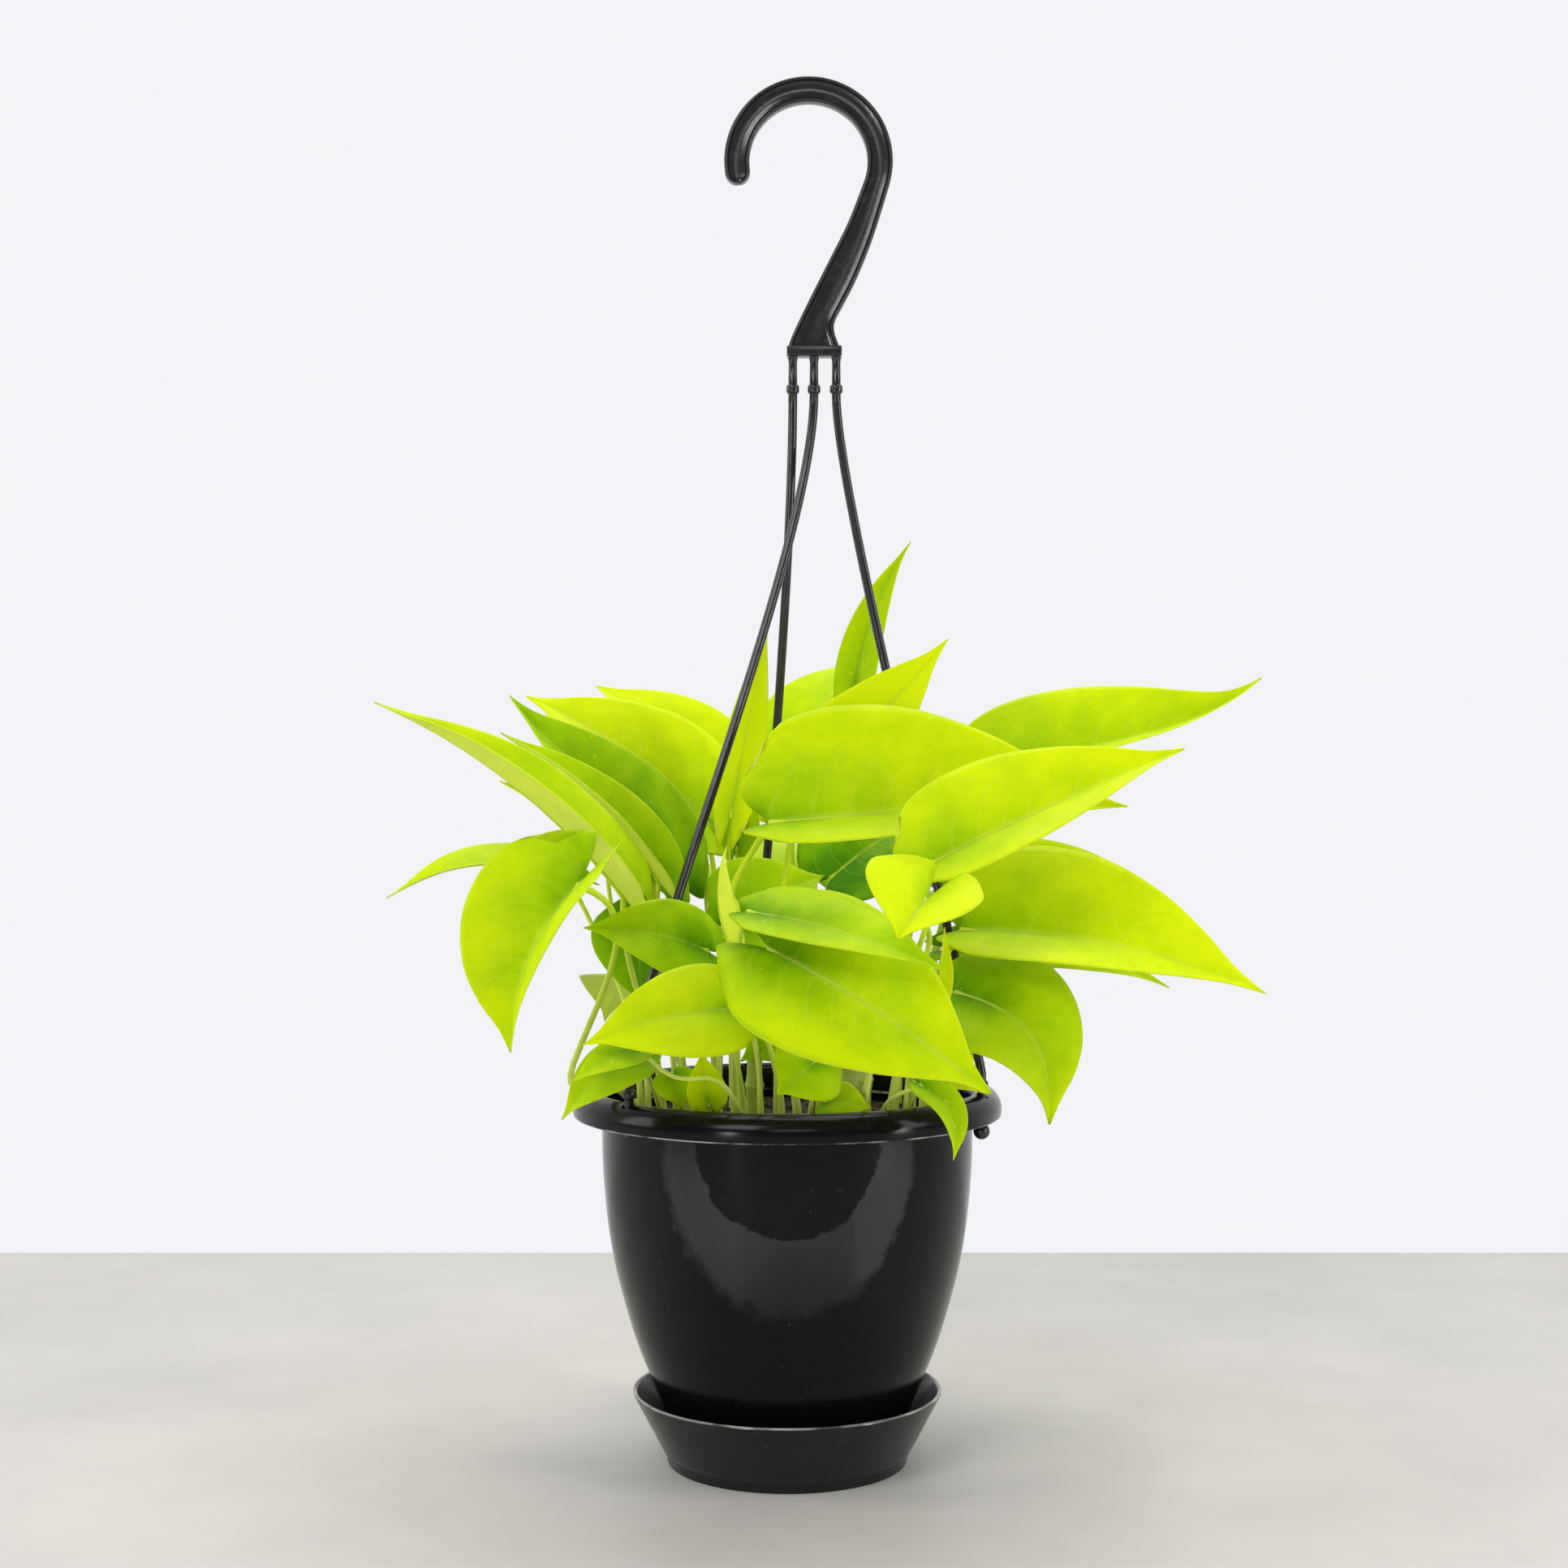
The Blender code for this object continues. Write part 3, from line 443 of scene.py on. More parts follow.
def buildSaucer():
    s = saucerShape
    rim, foot, height, step = s["rim"], s["foot"], s["height"], s["footHeight"]
    inRim, inFoot, middle = rim - s["wall"], foot - 0.6, potShape["axisGap"]
    # from the middle of the inside floor, up the inside, over the rim and down to the foot
    profile = [(middle, s["floor"]), (inFoot - 1.5, s["floor"]), (inFoot - 0.4, s["floor"] + 0.25),
               (inFoot + 0.4, s["floor"] + 1.1), (inRim - 0.3, height - 1), (inRim + 0.05, height - 0.3),
               (inRim + 0.45, height), (rim - 0.5, height), (rim - 0.1, height - 0.25), (rim, height - 0.7),
               (rim - 0.3, height - 1.4), (foot + 1.9, step + 1.2), (foot + 1.35, step + 0.3),
               (foot + 1, step), (foot + 0.2, step - 0.15), (foot, step - 0.5), (foot, 0.5),
               (foot - 0.15, 0.12), (foot - 0.5, 0), (middle, 0)]
    saucer = turnedPiece("dripSaucer", profile, s["steps"])
    cleanNormals(saucer)
    saucer.data.materials.append(saucerPlastic())
    smoothShade(saucer, 30)
    finishPiece(saucer, "saucer")
    print("saucer done")


soilShape = {
    "level": 134, "mound": 2.5, "radius": 71.15, "play": 0.35, "rings": 34, "steps": 120,
    "crumbs": 260, "crumbCircle": 69, "fibres": 70, "fibreCircle": 66, "fibreEdge": 70,
    "fibreRadii": [0.18, 0.26, 0.24, 0.2, 0.1],
}


def earthMaterial():
    made, tree, shader = newMaterial("potEarth", (0.03, 0.018, 0.011), 0.92)
    grains = objectNoise(tree, 420, 6, 0.7)
    damp = objectNoise(tree, 38, 4)
    coarse = remap(tree, grains, 0.32, 0.68, 0, 1)
    base = blendColours(tree, coarse, (0.012, 0.007, 0.004), (0.085, 0.05, 0.03))
    wet = blendColours(tree, remap(tree, damp, 0.4, 0.62, 0, 0.75), base, (0.014, 0.009, 0.006))
    paint(tree, shader, wet)
    tree.links.new(remap(tree, damp, 0.35, 0.65, 0.95, 0.62), shader.inputs["Roughness"])
    bumpFrom(tree, shader, grains, 0.9, 0.0012)
    return made


def soilHeight(x, y):
    radius = math.hypot(x, y)
    s = soilShape
    rise = s["mound"] * max(0, 1 - radius / 71)
    lumps = noise.fractal(Vector((x, y, 3)) * 0.09, 1, 2.2, 5) * 1.15
    return s["level"] + rise + lumps * min(1, (71.5 - radius) / 9 + 0.25) - 0.7


def buildSoil():
    s = soilShape
    play, edge = s["play"], s["radius"]
    inner = [(r - potShape["wall"] - play, z) for r, z in smoothLine([(44, 7)] + potShape["body"], 14)]
    profile = [(40 - play, potShape["footHeight"] + potShape["floor"] + play)] + inner[1:]
    profile += [(edge, 131), (edge, s["level"] - 0.6)]
    for ring in range(1, s["rings"]):
        profile.append((edge * (1 - ring / s["rings"]), s["level"]))
    soil = turnedPiece("potEarthBody", profile, s["steps"])
    for point in soil.data.vertices:
        x, y, z = point.co / mm
        if z > s["level"] - 0.7:
            point.co.z = soilHeight(x, y) * mm
    cleanNormals(soil)
    earth = earthMaterial()
    soil.data.materials.append(earth)
    bpy.ops.object.shade_smooth()
    # crumbs of bark and peat, then thin fibres
    pieces = [soil]
    for number in range(s["crumbs"]):
        turn, out = random.uniform(0, 2 * math.pi), s["crumbCircle"] * math.sqrt(random.random())
        x, y = out * math.cos(turn), out * math.sin(turn)
        size = random.uniform(0.5, 1.5) if random.random() < 0.85 else random.uniform(1.5, 2.6)
        place = Vector((x, y, soilHeight(x, y) + size * 0.25)) * mm
        deselectAll()
        bpy.ops.mesh.primitive_ico_sphere_add(subdivisions=1, radius=size * mm, location=place)
        crumb = bpy.context.object
        crumb.scale = (random.uniform(0.6, 1.5), random.uniform(0.5, 1), random.uniform(0.35, 0.7))
        crumb.rotation_euler = (random.uniform(-0.5, 0.5), random.uniform(-0.5, 0.5), random.uniform(0, 6.3))
        for point in crumb.data.vertices:
            point.co *= random.uniform(0.75, 1.2)
        crumb.data.materials.append(earth)
        pieces.append(crumb)
    for number in range(s["fibres"]):
        turn, out = random.uniform(0, 2 * math.pi), s["fibreCircle"] * math.sqrt(random.random())
        x, y = out * math.cos(turn), out * math.sin(turn)
        length, swing = random.uniform(5, 14), random.uniform(0, 6.3)
        line = []
        for step in range(5):
            share = step / 4
            bend = swing + (share - 0.5) * random.uniform(-0.9, 0.9)
            fx = x + math.cos(bend) * length * (share - 0.5)
            fy = y + math.sin(bend) * length * (share - 0.5)
            if math.hypot(fx, fy) > s["fibreEdge"]:
                fx, fy = fx * 0.94, fy * 0.94
            line.append((fx, fy, soilHeight(fx, fy) + 0.35 + 1.2 * share * (1 - share)))
        fibre = tubeAlong("soilFibre", line, s["fibreRadii"], 1)
        fibre.data.materials.append(earth)
        pieces.append(fibre)
    joinPieces(pieces)
    finishPiece(soil, "potting_soil")
    print("soil done")


hookShape = {
    "centre": (8.4, 513.5), "radius": 28.4, "band": 10, "tipAngle": 188, "shankAngle": -18,
    "depth": 6.4, "web": 3, "fullWidth": 7.6,
    "tipSteps": (0.06, 0.2, 0.36, 0.52, 0.68, 0.84), "crookSteps": 44, "shankSteps": 40,
    "shankInner": [(24.1, 489.4), (16.1, 473.3), (8, 457.2), (2.2, 445), (0.4, 440)],
    "shankOuter": [(33.8, 482.9), (27.3, 466.8), (21.9, 456.2), (19, 450.6), (18.6, 446), (20.6, 440)],
    "bar": (-0.2, 21.6, 436.2, 440.4),
}


def hangerPlastic():
    made, tree, shader = newMaterial("hangerPlastic", (0.018, 0.018, 0.019), 0.2)
    cloud = objectNoise(tree, 90, 5, 0.6)
    fine = objectNoise(tree, 700, 2)
    rough = plus(tree, remap(tree, cloud, 0.35, 0.7, 0.13, 0.24), remap(tree, fine, 0.3, 0.7, 0, 0.04))
    tree.links.new(rough, shader.inputs["Roughness"])
    dust = noiseBand(tree, 300, 4, 0.56, 0.72, 0, 0.55)
    paint(tree, shader, blendColours(tree, dust, (0.018, 0.018, 0.019), (0.045, 0.045, 0.045)))
    bumpFrom(tree, shader, objectNoise(tree, 520, 2), 0.12, 0.0003)
    return made


# a filled ring of points is extruded through the others, and fills both ends
def sweptPiece(name, rings):
    deselectAll()
    bpy.ops.mesh.primitive_circle_add(vertices=len(rings[0]), radius=1)
    piece = bpy.context.object
    piece.name = name
    for point, place in zip(piece.data.vertices, rings[0]):
        point.co = Vector(place) * mm
    bpy.ops.object.mode_set(mode="EDIT")
    bpy.ops.mesh.select_all(action="SELECT")
    bpy.ops.mesh.edge_face_add()
    for before, after in zip(rings, rings[1:]):
        bpy.ops.mesh.extrude_region_move()
        shape = bmesh.from_edit_mesh(piece.data)
        for point in [v for v in shape.verts if v.select]:
            here = min(range(len(before)), key=lambda i: (Vector(before[i]) * mm - point.co).length_squared)
            point.co = Vector(after[here]) * mm
        bmesh.update_edit_mesh(piece.data)
    bpy.ops.object.mode_set(mode="OBJECT")
    return piece


# a round bar through line, with a radius at each point, as a mesh
def tubeAlong(name, line, radii, resolution):
    deselectAll()
    bpy.ops.curve.primitive_bezier_curve_add()
    bar = bpy.context.object
    bar.name = name
    bar.data.splines.clear()
    spline = bar.data.splines.new("POLY")
    spline.points.add(len(line) - 1)
    for point, place, radius in zip(spline.points, line, radii):
        point.co = (*(Vector(place) * mm), 1)
        point.radius = radius
    bar.data.dimensions = "3D"
    bar.data.bevel_depth = mm
    bar.data.bevel_resolution = resolution
    bar.data.use_fill_caps = True
    bpy.ops.object.convert(target="MESH")
    made = bpy.context.object
    for face in made.data.polygons:
        face.use_smooth = True
    return made


# (inner edge, outer edge) from the tip down to the bar, X and Z
def hookStations():
    h = hookShape
    cx, cz = h["centre"]
    half = h["band"] / 2
    tip = math.radians(h["tipAngle"])
    middle = (cx + h["radius"] * math.cos(tip), cz + h["radius"] * math.sin(tip))
    ahead = (-math.sin(tip), math.cos(tip))
    out = (math.cos(tip), math.sin(tip))
    pairs = []
    for step in h["tipSteps"]:
        turn = math.pi / 2 * (1 - step)
        along, wide = half * math.sin(turn), half * math.cos(turn)
        at = (middle[0] + ahead[0] * along, middle[1] + ahead[1] * along)
        pairs.append(tuple((at[0] + out[0] * far, at[1] + out[1] * far) for far in (-wide, wide)))
    for step in range(h["crookSteps"] + 1):
        turn = math.radians(h["tipAngle"] + (h["shankAngle"] - h["tipAngle"]) * step / h["crookSteps"])
        pairs.append(tuple((cx + r * math.cos(turn), cz + r * math.sin(turn))
                           for r in (h["radius"] - half, h["radius"] + half)))
    inner = smoothLine([pairs[-2][0], pairs[-1][0]] + h["shankInner"], h["shankSteps"])
    outer = smoothLine([pairs[-2][1], pairs[-1][1]] + h["shankOuter"], h["shankSteps"])
    pairs += [(tuple(a), tuple(b)) for a, b in zip(inner[3:], outer[3:])]
    return pairs


def buildHook(plastic):
    h = hookShape
    deep, web = h["depth"] / 2, h["web"] / 2
    # how far in from an edge, and how far forward
    section = [(0, deep - 1), (0.12, deep - 0.5), (0.36, deep - 0.14), (0.7, deep), (1.05, deep - 0.16),
               (1.3, deep - 0.6), (1.5, web + 0.5), (1.9, web + 0.75), (2.5, web + 0.55), (3.6, web + 0.1)]
    rings = []
    for inner, outer in hookStations():
        across = Vector((outer[0] - inner[0], 0, outer[1] - inner[1]))
        width = across.length
        across.normalize()
        fit = min(1, width / h["fullWidth"])
        start = Vector((inner[0], 0, inner[1]))
        near = [(offset * fit, depth * min(1, 0.45 + 0.55 * fit)) for offset, depth in section]
        front = near + [(width / 2, near[-1][1])] + [(width - o, d) for o, d in reversed(near)]
        ring = [start + across * o + Vector((0, -d, 0)) for o, d in front]
        ring += [start + across * o + Vector((0, d, 0)) for o, d in reversed(front)]
        rings.append([tuple(p) for p in ring])
    hook = sweptPiece("hangerHook", rings)
    cleanNormals(hook)
    smoothShade(hook, 50)
    left, right, bottom, top = h["bar"]
    deselectAll()
    middle = Vector(((left + right) / 2, 0, (bottom + top) / 2)) * mm
    size = Vector((right - left, h["depth"] + 0.8, top - bottom)) * mm
    bpy.ops.mesh.primitive_cube_add(size=1, location=middle, scale=size)
    bar = bpy.context.object
    bpy.ops.object.transform_apply(scale=True)
    bevel = bar.modifiers.new("soft", "BEVEL")
    bevel.width = 0.7 * mm
    bevel.segments = 3
    applyModifiers(bar)
    smoothShade(bar, 40)
    joinPieces([hook, bar])
    hook.data.materials.append(plastic)
    finishPiece(hook, "hanger_hook")
    print("hook done")


def bezierPoint(corners, share):
    a, b, c, d = corners
    rest = 1 - share
    return a * rest**3 + b * 3 * rest**2 * share + c * 3 * rest * share**2 + d * share**3


def collarPoints(at, radius):
    return [(at - Vector((0, 0, down)), radius * swell) for down, swell in hangerShape["collar"]]


def buildStrand(side, plastic):
    h = hangerShape
    top = Vector((h["tops"][side], 0, hookShape["bar"][2] - h["gap"]))
    rim = Vector(hangerPoint(side, h["rimCollar"] + 4))
    first = Vector((h["tops"][side], 0, h["topCollar"] - 2))
    span = (rim - first).length
    leave, arrive = h["bow"][side]
    down = Vector((0, 0, -1))
    corners = (first, first + down * span * leave, rim - down * span * arrive, rim)
    stub = h["strand"] * 0.93
    line = [(top, stub * 1.25), (top + down * 0.8, stub * 1.08), (top + down * 2.4, stub)]
    line += collarPoints(Vector((h["tops"][side], 0, h["topCollar"])), h["strand"])
    steps = h["barSteps"]
    line += [(bezierPoint(corners, step / steps), h["strand"]) for step in range(1, steps + 1)]
    line += collarPoints(Vector(hangerPoint(side, h["rimCollar"])), h["strand"])
    middle = h["ballHeights"][side]
    line += [(Vector(hangerPoint(side, z)), h["strand"] * 0.95) for z in (146, middle + h["ball"] + 1.5)]
    for step in range(h["ballSteps"] + 1):
        turn = math.radians(52 - 140 * step / h["ballSteps"])
        line.append((Vector(hangerPoint(side, middle + h["ball"] * math.sin(turn))),
                     max(h["ball"] * math.cos(turn), 0.12)))
    strand = tubeAlong("hangerStrand" + side.capitalize(), [p for p, r in line], [r for p, r in line], 6)
    strand.data.materials.append(plastic)
    finishPiece(strand, "hanger_strand_" + side)


def buildHanger():
    plastic = hangerPlastic()
    buildHook(plastic)
    for side in hangerShape["angles"]:
        buildStrand(side, plastic)
    print("strands done")


# root: where the stalk leaves the soil. base: where stalk and blade meet. tip: the far end of the midrib.
# face: the way the upper side looks. fold lifts both halves, arch bows the midrib up, flick bends its last
# third, sway bows it sideways, halves scales the two halves, curl rolls the margins, lobe is how far the
# lobes reach behind the base, bend is how far the stalk swings under the blade, via is a place it passes,
# tone runs from deep green to yellow, partly the leaf's own colour and partly painted shade
# for leaves in shadow
def newLeaf(root, base, tip, face, **rest):
    return dict(root=root, base=base, tip=tip, face=face, **rest)


leaves = {
    # left side
    "leaf_left_long": newLeaf((-48, -24), (-62, -40, 224), (-154.5, -52, 297.5), (0.5, -0.25, 0.85),
        width=60, fold=44, arch=8, halves=(0.85, 0.75), lobe=0.14, tone=0.6),
    "leaf_left_nested": newLeaf((-40, -3), (-50.5, -11, 229), (-112, -13, 287), (0.5, -0.3, 0.8), width=50,
        fold=44, arch=4, halves=(0.8, 0.8), tone=0.45),
    "leaf_left_broad": newLeaf((-32, 9), (-47.5, 14, 230.5), (-111.5, 12, 302.5), (0.5, -0.55, 0.7),
        width=62, fold=26, arch=6, flick=-5, tone=0.25),
    "leaf_left_hanging": newLeaf((-56, -26), (-76, -76, 230), (-98, -98, 172), (-0.61, -0.75, 0.25),
        width=72, fold=41, arch=5, sway=4, lobe=0.3, via=(-77, -54, 170), tone=0.64),
    "leaf_left_bright": newLeaf((-22, 25), (-34, 38, 252.5), (-109, 50, 303.5), (0.2, -0.78, 0.6), width=64,
        fold=14, arch=8, halves=(0.8, 1), bend=0.18, tone=0.86),
    "leaf_left_top": newLeaf((-21, 46), (-26, 64, 259), (-82, 78, 309), (0.3, -0.75, 0.6), width=60,
        fold=14, arch=8, tone=0.85),
    "leaf_upright_gold": newLeaf((-14, 14), (-23, 20, 254), (-7.5, 20, 334), (0.1, -0.95, 0.1), width=21,
        fold=30, arch=-4, tone=1),
    "leaf_behind_gold": newLeaf((-28, 42), (-21, 52, 240), (-18, 56, 279), (0, -0.95, 0.2), width=18,
        fold=12, arch=3, tone=0.5),
    "leaf_far_left": newLeaf((-58, -2), (-88, 12, 230), (-158, -4, 222), (0, -0.25, 1), width=36,
        fold=26, arch=9, tone=0.65),
    "leaf_left_tucked": newLeaf((-56, 14), (-74, 34, 234), (-118, 34, 268), (0.4, -0.5, 0.75), width=38,
        fold=36, arch=3, tone=0.4),
    "leaf_left_level": newLeaf((-26, -36), (-30, -56, 205), (-75, -66, 214), (0, -0.82, 0.57), width=34,
        fold=12, arch=5, lobe=0.25, tone=0.4),
    "leaf_left_shaded": newLeaf((-44, 2), (-60, 8, 216), (-57, 2, 178), (-0.1, -0.9, 0.2), width=38,
        fold=10, arch=4, tone=0.06),
    # middle
    "leaf_centre_big": newLeaf((-20, -24), (-6, -48, 252.5), (128.5, -42, 258.5), (0, -0.8, 0.6),
        width=96, fold=25, arch=3, halves=(1, 0.36), lobe=0.08, via=(-20, -36, 222), tone=0.74),
    "leaf_centre_gold": newLeaf((-4, -20), (4, -24, 259), (62, -23, 323), (0, -0.9, 0.4), width=44, fold=25,
        arch=-2, tone=1),
    "leaf_top_upright": newLeaf((28, 44), (27.5, 52, 299.5), (51.5, 48, 368), (-0.3, -0.95, 0.1), width=20,
        fold=25, arch=-3, sway=-6, tone=0.5),
    "leaf_top_back": newLeaf((4, 56), (4, 78, 280), (35, 108, 321), (-0.1, -0.6, 0.7), width=52, fold=10,
        arch=6, tone=0.6),
    "leaf_centre_back": newLeaf((18, 22), (18, 20, 229), (64, 42, 252), (0, -0.6, 0.8), width=58, fold=18,
        arch=6, tone=0.15),
    "leaf_centre_inner": newLeaf((-12, 4), (-22.5, 4, 211), (14.5, 14, 230), (0.1, -0.75, 0.65), width=50,
        fold=12, arch=4, tone=0.4),
    "leaf_centre_slim": newLeaf((-16, -46), (-21, -64, 207.5), (-22.5, -61, 244), (0.9, 0.3, 0.2), width=20,
        fold=40, arch=-4, tone=0.8),
    "leaf_front_upper": newLeaf((-2, -38), (-14, -84, 221), (57, -112, 201), (0, -0.6, 0.8), width=36,
        fold=12, arch=4, halves=(1, 0.7), lobe=0.08, tone=0.5),
    "leaf_front_big": newLeaf((4, -52), (-6.5, -88, 208), (71, -110, 159), (-0.05, -0.78, 0.62), width=70,
        fold=14, arch=5, tone=0.62),
    "leaf_front_left": newLeaf((-10, -56), (-18, -80, 186), (-73.5, -88, 173.5), (0.1, -0.8, 0.6), width=40,
        fold=12, arch=5, tone=0.75),
    # right side
    "leaf_right_front": newLeaf((38, -44), (50.5, -72, 237), (147, -60, 280), (0, -0.7, 0.71), width=64,
        fold=22, arch=2, halves=(1, 0.55), lobe=0.08, bend=0.12, via=(53, -44, 212), tone=0.8),
    "leaf_right_far": newLeaf((50, 14), (81, 36, 266), (192, 20, 310), (0, -0.55, 0.83), width=68,
        fold=38, arch=6, flick=-12, tone=0.66),
    "leaf_young_cupped": newLeaf((28, -56), (48.2, -106, 226), (38, -121, 213.5), (-0.1, -0.8, 0.6),
        width=52, fold=34, arch=1, lobe=0.9, tone=1),
    "leaf_right_sweep": newLeaf((48, -16), (67, -33, 211), (180, -46, 188), (0, -0.75, 0.66), width=80,
        fold=22, arch=10, halves=(1, 0.48), lobe=0.08, tone=0.82),
    "leaf_right_behind": newLeaf((54, 4), (72, 16, 222), (170, 14, 203), (0, -0.65, 0.75), width=56,
        fold=30, arch=9, tone=0.6),
    "leaf_right_slim": newLeaf((56, -8), (68, 2, 202), (150, -8, 187), (0, -0.6, 0.8), width=32, fold=20,
        arch=8, tone=0.5),
    "leaf_right_tucked": newLeaf((58, 26), (73, 32, 200), (112, 20, 184), (0, -0.65, 0.75), width=40,
        fold=18, arch=6, tone=0.3),
    "leaf_right_hanging": newLeaf((54, -30), (64, -42, 188), (97, -61, 141), (0.35, -0.8, 0.5), width=60,
        fold=16, arch=11, sway=-8, tone=0.5),
    "leaf_right_small": newLeaf((44, 20), (61, 20, 180), (84, 16, 166), (0.2, -0.6, 0.75), width=22,
        fold=14, arch=3, tone=0.7),
    "leaf_right_spike": newLeaf((44, -50), (55, -70, 188), (57.5, -70, 214.5), (0.6, -0.6, 0.1), width=12,
        fold=50, arch=0, tone=1),
    # low leaves over the soil and the lip
    "leaf_low_heart": newLeaf((8, -56), (10.3, -68, 165.4), (-3.7, -75, 154), (0.2, -0.9, 0.4), width=30,
        fold=8, arch=1, lobe=0.42, tone=0.5),
    "leaf_low_front": newLeaf((20, -56), (14, -58.5, 149), (31, -65, 147.5), (0, -0.8, 0.6), width=19,
        fold=8, arch=1, tone=0.5),
    "leaf_low_left": newLeaf((-34, -52), (-43, -53, 159), (-39, -56, 146), (0.1, -0.9, 0.3), width=17,
        fold=10, arch=2, tone=0.4),
    "leaf_low_upright": newLeaf((-29, -57), (-29, -59, 148), (-32, -60, 168), (0, -1, 0), width=16,
        fold=20, arch=1, tone=0.75),
    "leaf_lip_left_upper": newLeaf((-14, -58), (-53, -80, 171), (-77, -88, 160), (-0.1, -0.6, 0.8),
        width=18, fold=16, arch=3, via=(-32, -76, 160), tone=0.45),
    "leaf_lip_left": newLeaf((-47, -36), (-54, -65, 167), (-82, -76, 145), (-0.2, -0.7, 0.7), width=26,
        fold=14, arch=5, via=(-53, -52, 162), tone=0.45),
    "leaf_lip_gold": newLeaf((46, -42), (50.5, -58, 158), (72.5, -74, 154), (0, -0.6, 0.8), width=18,
        fold=16, arch=3, tone=1),
    "leaf_lip_right": newLeaf((34, -56), (48, -80, 158), (59, -93, 133), (0.5, -0.75, 0.4), width=17,
        fold=24, arch=4, sway=-4, tone=0.5),
    "leaf_low_inner": newLeaf((12, -18), (10, -22, 178), (-18, -24, 160), (0, -0.9, 0.4), width=30,
        fold=8, arch=3, tone=0.25),
    "leaf_low_back_right": newLeaf((60, 16), (69, 24, 161), (80, 19, 154), (0, -0.6, 0.8), width=12,
        fold=12, arch=1, tone=0.55),
    # back
    "leaf_back_left": newLeaf((-30, 50), (-46, 62, 226), (-106, 118, 236), (-0.2, 0.3, 0.9), width=58,
        fold=16, arch=9, tone=0.5),
    "leaf_back": newLeaf((14, 54), (12, 94, 226), (4, 162, 232), (0, 0.35, 0.9), width=60, fold=16,
        arch=9, tone=0.65),
    "leaf_back_right": newLeaf((17, 50), (36, 72, 244), (70, 148, 252), (0.1, 0.35, 0.9), width=60, fold=16,
        arch=9, tone=0.8),
    "leaf_back_right_side": newLeaf((46, 38), (54, 58, 212), (112, 114, 208), (0.1, 0.2, 0.95), width=44,
        fold=16, arch=9, tone=0.45),
    "leaf_back_low_left": newLeaf((-42, 38), (-60, 48, 185), (-80, 98, 163), (-0.2, 0.6, 0.75), width=46,
        fold=14, arch=7, tone=0.3),
    "leaf_back_low_right": newLeaf((31, 46), (33, 62, 180), (52, 112, 160), (0.1, 0.6, 0.75), width=40,
        fold=14, arch=7, tone=0.35),
}
bladeShape = {
    "rows": 40, "columns": 26, "thickness": 0.42, "curl": 0.16, "lobe": 0.17, "bend": 0.3,
    "outline": [(0, 0.5), (0.04, 0.77), (0.1, 0.92), (0.22, 1), (0.4, 0.93), (0.6, 0.68), (0.75, 0.41),
                (0.87, 0.165), (0.95, 0.06), (1, 0.008)],  # share of the length, share of the widest half
    "ripple": 0.55, "crumple": 0.5, "fullHalf": 26, "crease": 0.5, "creaseReach": 1.2, "lobeTurn": 0.88,
    "stalk": 1.25, "largeWidth": 66, "stalkSteps": 22, "viaSteps": 12, "ribSteps": 19, "ribEnd": 0.9,
    "near": 0.02,  # how far apart the slope of the midrib is measured
}
outlineLine = smoothLine(bladeShape["outline"], 120)


def outlineShare(share):
    return float(np.interp(share, [p[0] for p in outlineLine], [p[1] for p in outlineLine]))


def bladeFrame(leaf):
    base, tip = Vector(leaf["base"]), Vector(leaf["tip"])
    axis = (tip - base).normalized()
    face = Vector(leaf["face"])
    up = (face - axis * face.dot(axis)).normalized()
    return base, (tip - base).length, axis, up, axis.cross(up)


def midribPoint(leaf, frameOf, share):
    base, length, axis, up, side = frameOf
    bow = 4 * share * (1 - share)
    late = 6.75 * share**2 * (1 - share)
    rise = leaf.get("arch", 0) * bow + leaf.get("flick", 0) * late
    return base + axis * length * share + up * rise + side * leaf.get("sway", 0) * bow


# a point of the blade: share runs from the base to the tip, side from -1 to 1 across it
def bladePoint(leaf, frameOf, share, side, seed):
    base, length, axis, up, across = frameOf
    b = bladeShape
    before, after = max(share - b["near"], 0), min(share + b["near"], 1)
    ahead = midribPoint(leaf, frameOf, after) - midribPoint(leaf, frameOf, before)
    ahead.normalize()
    up = (up - ahead * up.dot(ahead)).normalized()
    across = ahead.cross(up)
    half = leaf["width"] / 2
    out = abs(side) * half * outlineShare(share) * leaf.get("halves", (1, 1))[side > 0]
    fold = math.radians(leaf["fold"])
    lift = out * math.sin(fold) - leaf.get("curl", b["curl"]) * out * out / half
    # the halves rise softly out of the midrib, and their margins ripple
    lift -= b["crease"] * math.sin(fold) * (1 - math.exp(-out / b["creaseReach"]))
    size = min(1, half / b["fullHalf"])
    wave = math.sin(share * 11 + seed * 5 + (2 if side > 0 else 0))
    lift += b["ripple"] * size * side**2 * wave * (1 - share)
    lift += b["crumple"] * size * noise.noise(Vector((share * 3.1, side * 1.7, seed * 9.7)))
    lobe = leaf.get("lobe", b["lobe"]) * length
    lobe *= math.sin(b["lobeTurn"] * math.pi * abs(side)) * (1 - share) ** 4
    spread = out * math.cos(fold) * (1 if side > 0 else -1)
    return midribPoint(leaf, frameOf, share) + across * spread + up * lift - ahead * lobe


